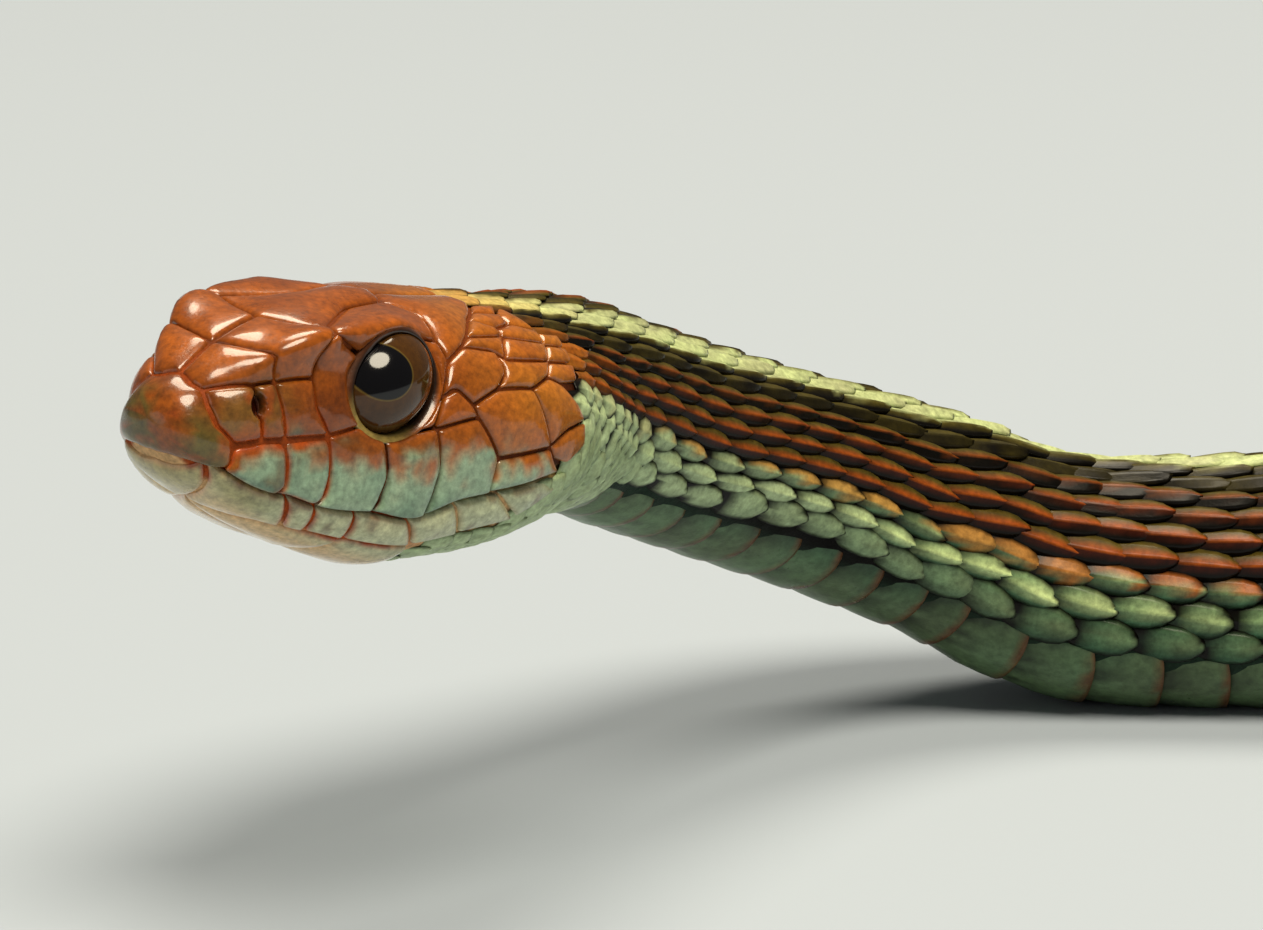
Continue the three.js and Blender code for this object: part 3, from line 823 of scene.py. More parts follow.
@dataclass(frozen=True)
class KeratinFinish:
    """Horny scale keratin, polished by sloughing: clear gloss over mottled pigment, with faint grain."""

    name: str
    roughness: float
    sheen: float
    coat: float
    coat_roughness: float
    bump: float
    grain: float
    mottle: float = 0.35
    wear_size: float = 1.9
    wear: Pair = (0.75, 1.3)
    pit_size: float = 0.12

    def material(self) -> Material:
        """Makes the material, which takes its colour from the piece's own values.

        Returns:
            The material.
        """
        made, tree = empty_material(self.name)
        place = add_node(tree, "ShaderNodeTexCoord").outputs["Object"]
        pigment = add_node(tree, "ShaderNodeAttribute", attribute_name="skin_color").outputs["Color"]
        # Pigment cells show as a fine mottling about as wide as the grain.
        mottle = add_node(tree, "ShaderNodeTexNoise", {"Vector": place, "Scale": 1 / (self.grain * MM),
                                                       "Detail": 4.0, "Roughness": 0.65})
        light = add_node(tree, "ShaderNodeMapRange", {0: mottle.outputs["Fac"], 1: 0.3, 2: 0.7,
                                                      3: 1 - self.mottle, 4: 1 + self.mottle})
        tinted = add_node(tree, "ShaderNodeVectorMath", {0: pigment, "Scale": light.outputs[0]},
                          operation="SCALE")
        # Worn and dusty spots break the gloss.
        wear = add_node(tree, "ShaderNodeTexNoise", {"Vector": place, "Scale": 1 / (self.wear_size * MM),
                                                     "Detail": 3.0})
        rough = add_node(tree, "ShaderNodeMapRange", {0: wear.outputs["Fac"], 1: 0.3, 2: 0.7,
                                                      3: self.roughness * self.wear[0],
                                                      4: self.roughness * self.wear[1]})
        # Fine pits and growth lines, a tenth of a millimetre apart.
        pits = add_node(tree, "ShaderNodeTexNoise", {"Vector": place, "Scale": 1 / (self.pit_size * MM),
                                                     "Detail": 2.0})
        bump = add_node(tree, "ShaderNodeBump", {"Height": pits.outputs["Fac"], "Distance": self.bump * MM,
                                                 "Strength": 1.0})
        shader = add_node(tree, "ShaderNodeBsdfPrincipled",
                          {"Base Color": tinted.outputs[0], "Roughness": rough.outputs[0],
                           "Normal": bump.outputs[0], "IOR": 1.5, "Specular IOR Level": self.sheen,
                           "Coat Weight": self.coat, "Coat Roughness": self.coat_roughness})
        add_node(tree, "ShaderNodeOutputMaterial", {"Surface": shader.outputs[0]})
        return made


@dataclass(frozen=True)
class EyeFinish:
    """The clear spectacle over the eye: wet gloss on a black pupil, a thin golden ring and a brown iris."""

    name: str = "spectacle_over_brown_iris"
    pupil_spot: Pair = (-1.1, 0.5)
    pupil_radius: float = 1.04
    ring_width: float = 0.05
    iris_dark: tuple = srgb("221004")
    iris_light: tuple = srgb("553612")
    gold: tuple = srgb("5E4C20")
    pupil: tuple = (0.002, 0.002, 0.003)

    def material(self) -> Material:
        """Makes the material, which reads each point's place on the eye in millimetres.

        Returns:
            The material.
        """
        made, tree = empty_material(self.name)
        spot = add_node(tree, "ShaderNodeAttribute", attribute_name="eye_spot").outputs["Vector"]
        away = add_node(tree, "ShaderNodeVectorMath", {0: spot, 1: (*self.pupil_spot, 0)},
                        operation="DISTANCE")
        fibres = add_node(tree, "ShaderNodeTexNoise", {"Vector": spot, "Scale": 3.2, "Detail": 5.0,
                                                       "Roughness": 0.7})
        ragged = add_node(tree, "ShaderNodeMath", {0: fibres.outputs["Fac"], 1: 0.12, 2: -0.06},
                          operation="MULTIPLY_ADD")
        radius = add_node(tree, "ShaderNodeMath", {0: away.outputs["Value"], 1: ragged.outputs[0]})
        iris = add_node(tree, "ShaderNodeMix", {"Factor": fibres.outputs["Fac"], 6: (*self.iris_dark, 1),
                                                7: (*self.iris_light, 1)}, data_type="RGBA")
        ring = add_node(tree, "ShaderNodeMapRange", {
            0: radius.outputs[0], 1: self.pupil_radius + self.ring_width,
            2: self.pupil_radius + 2.2 * self.ring_width, 3: 1.0, 4: 0.0})
        gold = add_node(tree, "ShaderNodeMix", {"Factor": ring.outputs[0], 6: iris.outputs[2],
                                                7: (*self.gold, 1)}, data_type="RGBA")
        hole = add_node(tree, "ShaderNodeMapRange", {0: away.outputs["Value"], 1: self.pupil_radius,
                                                     2: self.pupil_radius + 0.06, 3: 1.0, 4: 0.0})
        whole = add_node(tree, "ShaderNodeMix", {"Factor": hole.outputs[0], 6: gold.outputs[2],
                                                 7: (*self.pupil, 1)}, data_type="RGBA")
        shader = add_node(tree, "ShaderNodeBsdfPrincipled",
                          {"Base Color": whole.outputs[2], "Roughness": 0.1, "IOR": 1.38,
                           "Coat Weight": 0.25, "Coat Roughness": 0.02})
        add_node(tree, "ShaderNodeOutputMaterial", {"Surface": shader.outputs[0]})
        return made


SHIELD_KERATIN = KeratinFinish("glossy_head_shield_keratin", 0.3, 0.2, 0.75, 0.11, 0.012, 0.3)
SCALE_KERATIN = KeratinFinish("satin_keeled_scale_keratin", 0.38, 0.12, 0.07, 0.2, 0.01, 0.35)
BELLY_KERATIN = KeratinFinish("smooth_belly_scute_keratin", 0.36, 0.18, 0.12, 0.18, 0.01, 0.5)
INNER_SKIN = KeratinFinish("soft_skin_between_the_scales", 0.62, 0.1, 0.0, 0.3, 0.03, 0.25)
EYE_GLOSS = EyeFinish()


@dataclass
class EyeSeat:
    """Where an eye sits, with directions to its rear and its top."""

    form: SnakeForm
    side: int
    place: Triple = (9.2, 3.87, 3.3)
    facing: Triple = (-0.16, 0.97, 0.17)
    dome_radius: float = 2.35
    rim_radius: float = 2.12
    lean: float = 0.18
    flatness: float = 0.95
    guess: Triple = (9.2, 52, 11)

    def __post_init__(self) -> None:
        """Works the seat's directions out from the head's."""
        _, back, right, up = (row[0] for row in self.form.frames(np.array([0.0])))
        x, y, z = self.place
        self.middle = self.form.head_point(x, self.side * y, z)
        a, b, c = self.facing
        self.out = unit(back * a + right * b * self.side + up * c)
        self.rear = unit(back - self.out * (back @ self.out))
        top = np.cross(self.out, self.rear)
        self.top = top * np.sign(top @ up)
        self.mirrored = np.cross(self.rear, self.top) @ self.out < 0

    def local(self, points: Array) -> Array:
        """Coordinates to the rear, to the top and out of the seat."""
        return (points - self.middle) @ np.stack([self.rear, self.top, self.out], 1)

    def world(self, rear: Array, top: Array, out: Array) -> Array:
        """Points from coordinates on the seat."""
        return (self.middle + rear[..., None] * self.rear + top[..., None] * self.top
                + out[..., None] * self.out)

    def dome(self, radius: Array) -> Array:
        """How far out the globe stands at a distance from its middle."""
        rim_depth = math.sqrt(self.dome_radius ** 2 - self.rim_radius ** 2)
        return np.sqrt(np.maximum(self.dome_radius ** 2 - radius ** 2, 0)) - rim_depth

    def spot(self, rear: Array, top: Array) -> Array:
        """The place and angle of the head's surface behind spots on the seat.

        Args:
            rear: Distances to the rear.
            top: Distances to the top.

        Returns:
            A place and an angle for each spot.
        """
        goal = np.stack([rear, top], -1)
        place, angle, slope = self.guess
        found = np.stack([place + rear, self.side * (angle - slope * top)], -1)
        small = 0.01
        for _ in range(12):
            here = self.local(self.form.at(found[:, 0], found[:, 1]))[:, :2]
            by_place = (self.local(self.form.at(found[:, 0] + small, found[:, 1]))[:, :2] - here) / small
            by_angle = (self.local(self.form.at(found[:, 0], found[:, 1] + small))[:, :2] - here) / small
            step = np.linalg.solve(np.stack([by_place, by_angle], -1), (goal - here)[..., None])[..., 0]
            found = found + np.clip(step, -1.5, 1.5) * 0.8
        return found

    def oval(self, turn: Array, radius: Array | float) -> tuple[Array, Array]:
        """Coordinates round the eye's leaning oval, from its rear over its top."""
        return radius * (np.cos(turn) + self.lean * np.sin(turn)), radius * self.flatness * np.sin(turn)

    def circle(self, start: float, end: float, radius: float, count: int) -> Array:
        """Places and angles along an arc round the eye, from its rear over its top."""
        return self.spot(*self.oval(np.radians(np.linspace(start, end, count)), radius))


def grid(rows: Array | tuple, columns: Array | tuple) -> tuple[Array, Array]:
    """Both coordinates of each point of a grid, row after row."""
    down, across = np.meshgrid(rows, columns, indexing="ij")
    return down.ravel(), across.ravel()


def grid_faces(rows: int, columns: int, closed: bool) -> list[tuple[int, ...]]:
    """The faces of a grid of points, row after row.

    Args:
        rows: How many rows there are.
        columns: How many points a row has.
        closed: Whether each row closes to a ring.

    Returns:
        The numbers of each face's points.
    """
    count = columns if closed else columns - 1
    return [(i * columns + j, (i + 1) * columns + j, (i + 1) * columns + (j + 1) % columns,
             i * columns + (j + 1) % columns) for i in range(rows - 1) for j in range(count)]


def tube_faces(rows: int, columns: int) -> list[tuple[int, ...]]:
    """The faces of a tube closed by two more points, one in front of its rows and one behind.

    Args:
        rows: How many rings of points there are.
        columns: How many points a ring has.

    Returns:
        The numbers of each face's points.
    """
    faces = grid_faces(rows, columns, True)
    front, last = rows * columns, (rows - 1) * columns
    for j in range(columns):
        after = (j + 1) % columns
        faces += [(front, j, after), (front + 1, last + after, last + j)]
    return faces


def grid_rim(rows: int, columns: int) -> list[int]:
    """The numbers of the points round a grid.

    Args:
        rows: How many rows there are.
        columns: How many points a row has.

    Returns:
        The numbers down its first side, along its end, up its last side and back to its start.
    """
    last = (rows - 1) * columns
    return [*range(0, last, columns), *range(last, last + columns - 1),
            *range(last + columns - 1, columns - 1, -columns), *range(columns - 1, 0, -1)]


@dataclass
class Skin:
    """The one skin under the scales, from the snout to the tip of the tail."""

    form: SnakeForm
    seats: tuple[EyeSeat, EyeSeat]
    colours: HeadColours
    depth: float = 0.1
    body_depth: float = 0.14
    socket_depth: float = 1.5
    nostril_depth: float = 0.6
    nostril_reach: float = 0.55
    head_step: float = 0.25
    body_step: float = 2.5
    sides: int = 96

    def sink(self, place: Array, angle: Array) -> Array:
        """How far the skin lies under the animal's outer form.

        Args:
            place: Distances from the snout.
            angle: Angles round from the back.

        Returns:
            A depth for each spot.
        """
        sunk = self.depth + (self.body_depth - self.depth) * ease(18, 26, place)
        width = self.form.stretch(place, angle)[..., 1]
        mouth = (np.abs(angle) - self.colours.mouth(place)) * width
        hollow = bell(np.hypot(*self.colours.from_nostril(place, angle)), self.nostril_reach)
        return sunk + 0.3 * bell(mouth, 0.22) * (1 - ease(18.5, 20, place)) + self.nostril_depth * hollow

    def build(self) -> Object:
        """Makes the skin, closed at the snout and at the tail.

        Returns:
            The piece.
        """
        form = self.form
        total = form.body.total
        places = np.concatenate([[0.03, 0.09, 0.17], np.arange(0.28, 27, self.head_step),
                                 np.linspace(27, total - 0.3, int((total - 27) / self.body_step))])
        angles = np.linspace(-180, 180, self.sides + 1)[:-1]
        place, angle = grid(places, angles)
        points = form.at(place, angle, -self.sink(place, angle))
        for seat in self.seats:
            rear, top, out = seat.local(points).T
            away = np.hypot(rear, top)
            near = (away < seat.rim_radius + 0.6) & (out > -1) & (place < 14)
            floor = seat.dome(np.minimum(away, seat.rim_radius)) - self.socket_depth * 0.3
            outside = ease(seat.rim_radius, seat.rim_radius + 0.5, away)
            depth = np.minimum(out, floor) * (1 - outside) + out * outside
            points[near] += (depth - out)[near, None] * seat.out
        tips = np.stack([form.at(0.0, 0.0) * 1.0, form.frames(np.array([total]))[0][0]])
        rows, sides = len(places), self.sides
        corners = [((i + di) / rows, (j + dj) / sides) for i in range(rows - 1) for j in range(sides)
                   for di, dj in ((0, 0), (1, 0), (1, 1), (0, 1))]
        for j in range(sides):
            corners += [(0.0, j / sides), (0.002, j / sides), (0.002, (j + 1) / sides),
                        (1.0, j / sides), (0.998, (j + 1) / sides), (0.998, j / sides)]
        parts = MeshParts()
        parts.add(np.concatenate([points, tips]), tube_faces(rows, sides), np.array(corners),
                  skin_color=self.paint(np.append(place, [0, total]), np.append(angle, [0, 0])))
        return parts.build("skin", INNER_SKIN.material())

    def paint(self, place: Array, angle: Array) -> Array:
        """The skin's colours, which show in the seams and between the scales.

        Args:
            place: Distances from the snout.
            angle: Angles round from the back.

        Returns:
            A colour for each spot.
        """
        turn = np.abs(angle)
        head = np.where((turn > self.colours.mouth(place))[:, None],
                        self.colours.suture(place, angle, True), self.colours.suture(place, angle, False))
        body = painted(COLOURS.inner, (COLOURS.teal_dull, 0.6 * ease(95, 108, turn)))
        return painted(head, (COLOURS.crown_dark, 0.55 * (1 - ease(90, 100, turn))),
                       (body, ease(17, 21, place)))


@dataclass
class Eye:
    """One eye: its globe under the clear spectacle, and the rim of skin that holds it."""

    seat: EyeSeat
    opening: float = 2.04
    back: float = 1.0
    back_rings: Pair = (1.7, 0.9)
    pale_turn: float = 248
    rings: int = 22
    sides: int = 72
    rim_width: float = 0.28
    profile: tuple[Pair, ...] = ((0, -0.25), (0, 0.03), (0.1, 0.11), (0.3, 0.13), (0.55, 0.1),
                                                (0.8, 0.05), (1, 0), (1, -0.5), (0.4, -0.6))

    def globe(self, name: str) -> Object:
        """Makes the globe, domed in front and shallow behind.

        Args:
            name: The piece's name.

        Returns:
            The piece.
        """
        seat = self.seat
        radius = np.concatenate([np.linspace(0.06, seat.rim_radius, self.rings), self.back_rings])
        out = seat.dome(np.minimum(radius, seat.rim_radius))
        out[-2:] = [-self.back * 0.7, -self.back]
        turn = np.linspace(0, 2 * np.pi, self.sides, endpoint=False)
        rear, top = seat.oval(np.tile(turn, len(radius)), np.repeat(radius, self.sides))
        points = seat.world(rear, top, np.repeat(out, self.sides))
        ends = seat.world(np.zeros(2), np.zeros(2), np.array([seat.dome(np.zeros(1))[0], -self.back]))
        points = np.concatenate([points, ends])
        spots = np.column_stack([np.append(rear, [0, 0]), np.append(top, [0, 0]), np.zeros(len(points))])
        faces = tube_faces(len(radius), self.sides)
        if seat.mirrored:
            faces = [face[::-1] for face in faces]
        parts = MeshParts()
        parts.add(points, faces, 0.5 + 0.46 * spots[:, :2] / seat.rim_radius, eye_spot=spots)
        return parts.build(name, EYE_GLOSS.material())

    def rim(self, parts: MeshParts) -> None:
        """Adds the soft rim round the globe, closed under the skin.

        Args:
            parts: The piece that it joins.
        """
        seat = self.seat
        turn = np.linspace(0, 2 * np.pi, self.sides, endpoint=False)
        outer = seat.rim_radius + self.rim_width
        spots = seat.spot(*seat.oval(turn, outer))
        skin_out = seat.local(seat.form.at(spots[:, 0], spots[:, 1], -0.06))[:, 2]
        inner_out = float(seat.dome(np.array([self.opening]))[0])
        points = []
        for share, rise in self.profile:
            radius = self.opening + (outer - self.opening) * share
            out = inner_out + (skin_out - inner_out) * share + rise
            points.append(seat.world(*seat.oval(turn, radius), out))
        rows, sides = len(self.profile), self.sides
        steps = ((0, 0), (1, 0), (1, 1), (0, 1))
        if seat.mirrored:
            steps = steps[::-1]
        corners = [(i + di, j + dj) for i in range(rows) for j in range(sides) for di, dj in steps]
        numbers = [i % rows * sides + j % sides for i, j in corners]
        patch = np.array([(0.02 + 0.96 * j / sides, (0.02 if seat.side > 0 else 0.06) + 0.03 * i / rows)
                          for i, j in corners])
        low = np.tile(ease(0.45, 0.95, np.cos(turn - math.radians(self.pale_turn))), rows)
        rear = np.tile(ease(0.1, 0.8, np.cos(turn)), rows)
        outwards = np.repeat([share for share, _ in self.profile], sides)
        parts.add(
            np.concatenate(points), [tuple(numbers[i:i + 4]) for i in range(0, len(numbers), 4)], patch,
            skin_color=painted(COLOURS.rim_dark, (COLOURS.rim, low),
                               (COLOURS.crown, (0.3 + 0.6 * rear) * ease(0.3, 0.9, outwards) * (1 - low))))


# The corners where the head's shields meet: the distance back and the degrees round from the crown.
# Those of the lips and the jaw take their angle from the mouth's line.
CORNERS: dict[str, Pair] = {
    "snout_top": (1.23, 0), "snout_edge": (1.05, 17), "rostral_side": (1.15, 32),
    "rostral_middle": (1.1, 50), "rostral_low": (1.3, 72), "rostral_foot": (1.9, 83), "nose_top": (2.8, 0),
    "nose_arch": (3.1, 14), "nose_side": (3.45, 34), "nasal_top": (3.5, 49), "nostril_top": (2.65, 47),
    "nostril_foot": (2.9, 80), "nasal_foot": (3.9, 78), "brow_top": (5.25, 0), "prefrontal_rear": (6.1, 25),
    "brow_front": (5.95, 31), "brow_fold": (6.4, 37), "prefrontal_low": (5.4, 39), "loreal_top": (5.25, 49),
    "loreal_rear": (5.25, 63), "loreal_foot": (5.85, 73), "supra_front": (9.15, 12),
    "supra_rear": (11.3, 10), "supra_end": (12.35, 21), "postocular_top": (12.0, 36),
    "postocular_rear": (11.85, 50), "postocular_low": (11.4, 60), "postocular_foot": (10.85, 70),
    "crown_top": (12.3, 0), "nape_top": (16.9, 0), "parietal_end": (17.2, 8), "parietal_side": (15.2, 20.5),
    "parietal_fold_1": (14.5, 27), "parietal_fold_2": (13.9, 33), "parietal_middle": (13.2, 39),
    "parietal_low": (12.1, 46), "temporal_front": (12.1, 58), "temporal_top": (14.85, 42),
    "temporal_rear": (14.85, 53), "temporal_turn": (14.2, 60.5), "temporal_end": (12.8, 66),
    "labial_4": (11.0, 71), "labial_5": (13.0, 71), "labial_seam_4": (11.25, 84),
    "labial_seam_5": (14.2, 87), "labial_seam_6": (16.7, 77), "cheek_front": (15.4, 60.5),
    "cheek_top": (16.1, 61), "cheek_end": (18.2, 60), "cheek_rear": (19.1, 70), "cheek_low": (18.2, 82),
    "cheek_tip": (19.6, 79), "labial_7": (17.1, 87), "bead_front": (17.5, 91), "bead_foot": (18.6, 95),
    "bead_end": (19.8, 90), "side_1": (16.2, 27), "side_2": (16.1, 32.5), "side_3": (15.7, 37),
    "rear_1": (17.6, 24), "rear_2": (19.0, 30), "rear_3": (18.7, 38), "rear_4": (18.0, 48),
    "rear_5": (17.4, 56), "rear_6": (15.2, 46), "nape_1": (16.2, 14.5), "nape_2": (17.8, 17),
    "nape_3": (18.8, 10), "nape_4": (19.0, 21), "hind_1": (20.4, 33), "hind_2": (20.2, 41),
    "hind_3": (19.8, 50), "hind_4": (19.5, 60), "seam_lip_1": (4.25, 90), "seam_lip_2": (6.1, 86),
    "seam_lip_3": (8.7, 84), "chin_tip": (0.5, 180), "mental_side": (1.55, 131), "mental_rear": (2.7, 180),
    "throat_1": (5.0, 179), "throat_2": (7.9, 177), "throat_3": (11.6, 177), "throat_side": (11.6, 147),
    **{f"lip_{i}": (place, 0) for i, place in enumerate((
        1.7, 3.9, 5.65, 8.2, 10.8, 14.0, 17.0, 17.9))},
    **{f"jaw_{i}": (place, 0) for i, place in enumerate((
        1.0, 4.4, 5.8, 7.6, 10.2, 12.4, 14.6, 17.3))},
    **{f"chin_{i}": corner for i, corner in enumerate((
        (4.45, 147), (5.45, 139), (6.3, 134), (7.9, 128), (11.2, 124), (13.45, 120), (16.2, 116),
        (18.4, 106)))},
}


class Jaw(Enum):
    """Which jaw a shield is on."""

    UPPER = "upper"
    LOWER = "lower"


# The shields by their corners, in order round each. A corner named for the rim and a number lies at
# that many degrees round the eye, and one with a minus sign is the one on the other side.
MIDDLE_SHIELDS = {
    "frontal": "brow_top prefrontal_rear supra_front supra_rear crown_top "
               "-supra_rear -supra_front -prefrontal_rear",
}
UPPER_SHIELDS = {
    "internasal": "snout_top nose_top nose_arch nose_side nasal_top nostril_top rostral_side snout_edge",
    "prefrontal": "nose_top brow_top prefrontal_rear brow_front prefrontal_low loreal_top nasal_top "
                  "nose_side nose_arch",
    "prenasal": "rostral_side nostril_top nostril_foot rostral_foot rostral_low rostral_middle",
    "postnasal": "nostril_top nasal_top nasal_foot nostril_foot",
    "loreal": "nasal_top loreal_top loreal_rear loreal_foot nasal_foot",
    "preocular": "brow_front brow_fold rim:150 rim:228 loreal_foot loreal_rear loreal_top prefrontal_low",
    "supraocular": "prefrontal_rear supra_front supra_rear supra_end postocular_top rim:55 rim:150 "
                   "brow_fold brow_front",
    "upper_postocular": "rim:-22 rim:55 postocular_top parietal_low postocular_rear postocular_low",
    "lower_postocular": "rim:-60 rim:-22 postocular_low postocular_foot",
    "parietal": "crown_top nape_top parietal_end nape_1 parietal_side parietal_fold_1 parietal_fold_2 "
                "parietal_middle parietal_low postocular_top supra_end supra_rear",
    "upper_temporal": "postocular_rear parietal_low parietal_middle temporal_top temporal_rear "
                      "temporal_turn temporal_end temporal_front postocular_low",
    "lower_temporal": "postocular_low temporal_front temporal_end labial_5 labial_4 postocular_foot",
    "side_scale_1": "parietal_side side_1 side_2 parietal_fold_2 parietal_fold_1",
    "side_scale_2": "parietal_fold_2 side_2 side_3 rear_6 temporal_top parietal_middle",
    "rear_scale_1": "side_1 rear_1 rear_2 rear_3 side_2",
    "rear_scale_2": "side_2 rear_3 rear_4 rear_6 side_3",
    "rear_scale_3": "rear_6 rear_4 rear_5 cheek_top cheek_front temporal_turn temporal_rear temporal_top",
    "hind_scale_1": "rear_2 hind_1 hind_2 rear_3",
    "hind_scale_2": "rear_3 hind_2 hind_3 rear_4",
    "hind_scale_3": "rear_4 hind_3 hind_4 cheek_end rear_5",
    "nape_scale_1": "parietal_side nape_1 nape_2 rear_1 side_1",
    "nape_scale_2": "nape_1 parietal_end nape_3 nape_2",
    "nape_scale_3": "nape_2 nape_3 nape_4 rear_2 rear_1",
    "labial_1": "rostral_foot nostril_foot nasal_foot seam_lip_1 lip_1 lip_0",
    "labial_2": "nasal_foot loreal_foot seam_lip_2 lip_2 lip_1 seam_lip_1",
    "labial_3": "loreal_foot rim:228 rim:264 seam_lip_3 lip_3 lip_2 seam_lip_2",
    "labial_4": "rim:264 rim:300 postocular_foot labial_4 labial_seam_4 lip_4 lip_3 seam_lip_3",
    "labial_5": "labial_4 labial_5 labial_seam_5 lip_5 lip_4 labial_seam_4",
    "labial_6": "labial_5 temporal_end temporal_turn cheek_front cheek_top labial_seam_6 labial_7 "
                "labial_seam_5",
    "labial_7": "cheek_top rear_5 cheek_end cheek_rear cheek_tip cheek_low labial_7 labial_seam_6",
    "labial_8": "labial_7 cheek_low cheek_tip bead_end bead_foot bead_front",
    "mouth_end": "labial_seam_5 labial_7 bead_front lip_7 lip_6 lip_5",
}
LOWER_MIDDLE_SHIELDS = {"mental": "chin_tip jaw_0 mental_side mental_rear -mental_side -jaw_0"}
LOWER_SHIELDS = {
    "lower_labial_1": "jaw_0 jaw_1 chin_1 chin_0 mental_rear mental_side",
    **{f"lower_labial_{i + 1}": f"jaw_{i} jaw_{i + 1} chin_{i + 1} chin_{i}" for i in range(1, 7)},
    "front_chin_shield": "mental_rear chin_0 chin_1 chin_2 chin_3 throat_2 throat_1",
    "rear_chin_shield": "throat_2 chin_3 chin_4 throat_side throat_3",
}


@dataclass
class ShieldForm:
    """How a shield stands over the skin, from its edge to its middle."""

    seam: float = 0.1
    edge: float = -0.1
    shoulder: float = 0.24
    height: float = 0.04
    dome: float = 0.2
    dome_reach: float = 0.65
    lift: float = 0.05
    root: float = 0.35
    rings: tuple[float, ...] = (0.035, 0.085, 0.15, 0.24, 0.38, 0.6)
    step: float = 0.11
    spacing: float = 0.32

    def rise(self, inset: Array) -> Array:
        """The height at a distance in from the edge."""
        round_edge = np.sqrt(1 - (1 - np.clip(inset / self.shoulder, 0, 1)) ** 2)
        return (self.edge + (self.height - self.edge) * round_edge
                + self.dome * (1 - np.exp(-inset / self.dome_reach)))


def settle(angle: Array, reach: float = 6, power: float = 1.5) -> Array:
    """Draws angles to the middle line, where the flat crown and chin spread them apart.

    Args:
        angle: The angles.
        reach: How far from the middle line it works, in degrees.
        power: How strongly.

    Returns:
        The angles moved.
    """
    middle = 180 * np.round(angle / 180)
    away = angle - middle
    close = np.sign(away) * reach * (np.abs(away) / reach) ** power
    return np.where(np.abs(away) < reach, middle + close, angle)


def evenly(outline: Array, step: float) -> Array:
    """Spaces points evenly along a closed outline and rounds its corners.

    Args:
        outline: The outline's points.
        step: About how far apart the new ones lie.

    Returns:
        The new points.
    """
    closed = np.concatenate([outline, outline[:1]])
    lengths = np.concatenate([[0], np.cumsum(np.linalg.norm(np.diff(closed, axis=0), axis=1))])
    places = np.linspace(0, lengths[-1], max(12, int(lengths[-1] / step)) + 1)[:-1]
    points = np.column_stack([np.interp(places, lengths, closed[:, k]) for k in (0, 1)])
    kernel = ((0, 3), (1, 2), (-1, 2), (2, 1), (-2, 1))
    return sum(np.roll(points, shift, 0) * weight for shift, weight in kernel) / 9


def inset_of(points: Array, outline: Array) -> Array:
    """How far in from a closed outline points lie.

    Args:
        points: The points.
        outline: The outline's points.

    Returns:
        A distance for each point, below zero outside.
    """
    after = np.roll(outline, -1, 0)
    span = after - outline
    offset = points[:, None] - outline
    share = np.clip((offset * span).sum(2) / np.maximum((span ** 2).sum(1), 1e-12), 0, 1)
    away = np.linalg.norm(offset - share[..., None] * span, axis=2).min(1)
    x, y = points[:, :1], points[:, 1:]
    crosses = (outline[:, 1] > y) != (after[:, 1] > y)
    slope = span[:, 0] / np.where(span[:, 1] == 0, 1e-12, span[:, 1])
    right_of = x < outline[:, 0] + (y - outline[:, 1]) * slope
    inside = (crosses & right_of).sum(1) % 2 == 1
    return np.where(inside, away, -away)


def inward(outline: Array) -> Array:
    """Directions into a closed outline at its points."""
    along = unit(np.roll(outline, -1, 0) - np.roll(outline, 1, 0))
    return np.stack([-along[:, 1], along[:, 0]], 1)


def widest_patch(faces: Array) -> Array:
    """Leaves out the specks at a very sharp corner.

    Args:
        faces: The points' numbers of each triangle.

    Returns:
        The most triangles that hang together by their edges.
    """
    owners: dict[frozenset, list[int]] = {}
    for i, face in enumerate(faces.tolist()):
        for a, b in zip(face, face[1:] + face[:1]):
            owners.setdefault(frozenset((a, b)), []).append(i)
    pairs = np.array([pair for pair in owners.values() if len(pair) == 2])
    label, before = np.arange(len(faces)), None
    while before is None or (label != before).any():
        before = label.copy()
        lowest = label[pairs].min(1)
        for k in (0, 1):
            np.minimum.at(label, pairs[:, k], lowest)
    values, counts = np.unique(label, return_counts=True)
    return faces[label == values[counts.argmax()]]


def fill(outline: Array, form: ShieldForm, details: Array) -> tuple[Array, Array]:
    """Fills a closed outline with triangles that are finest along its edge.

    Args:
        outline: The outline's points, anticlockwise, in millimetres.
        form: The shield's form, with the distances of its rings from the edge.
        details: More points that the triangles meet, where they are inside.

    Returns:
        The points and the triangles.
    """
    gathered = [outline]
    for number, depth in enumerate(form.rings):
        ring = (outline + inward(outline) * depth)[::1 + number // 3]
        ring = ring[inset_of(ring, outline) > 0.93 * depth]
        gathered.append(ring)
    low, high = outline.min(0), outline.max(0)
    xs = np.arange(low[0], high[0], form.spacing)
    ys = np.arange(low[1], high[1], form.spacing * 0.87)
    inner = np.array([(x + (j % 2) * form.spacing / 2, y) for j, y in enumerate(ys) for x in xs])
    inner = inner[inset_of(inner, outline) > form.rings[-1] + 0.4 * form.spacing]
    if len(details):
        details = details[inset_of(details, outline) > 0.05]
    gathered += [inner, details]
    points = [Vector(p) for p in np.concatenate([g.reshape(-1, 2) for g in gathered])]
    edges = [(i, (i + 1) % len(outline)) for i in range(len(outline))]
    found, _, faces, *_ = delaunay_2d_cdt(points, edges, [], 1, 1e-5)
    faces = widest_patch(np.array([tuple(face) for face in faces]))
    used = np.unique(faces)
    return np.array([tuple(p) for p in found])[used], np.searchsorted(used, faces)


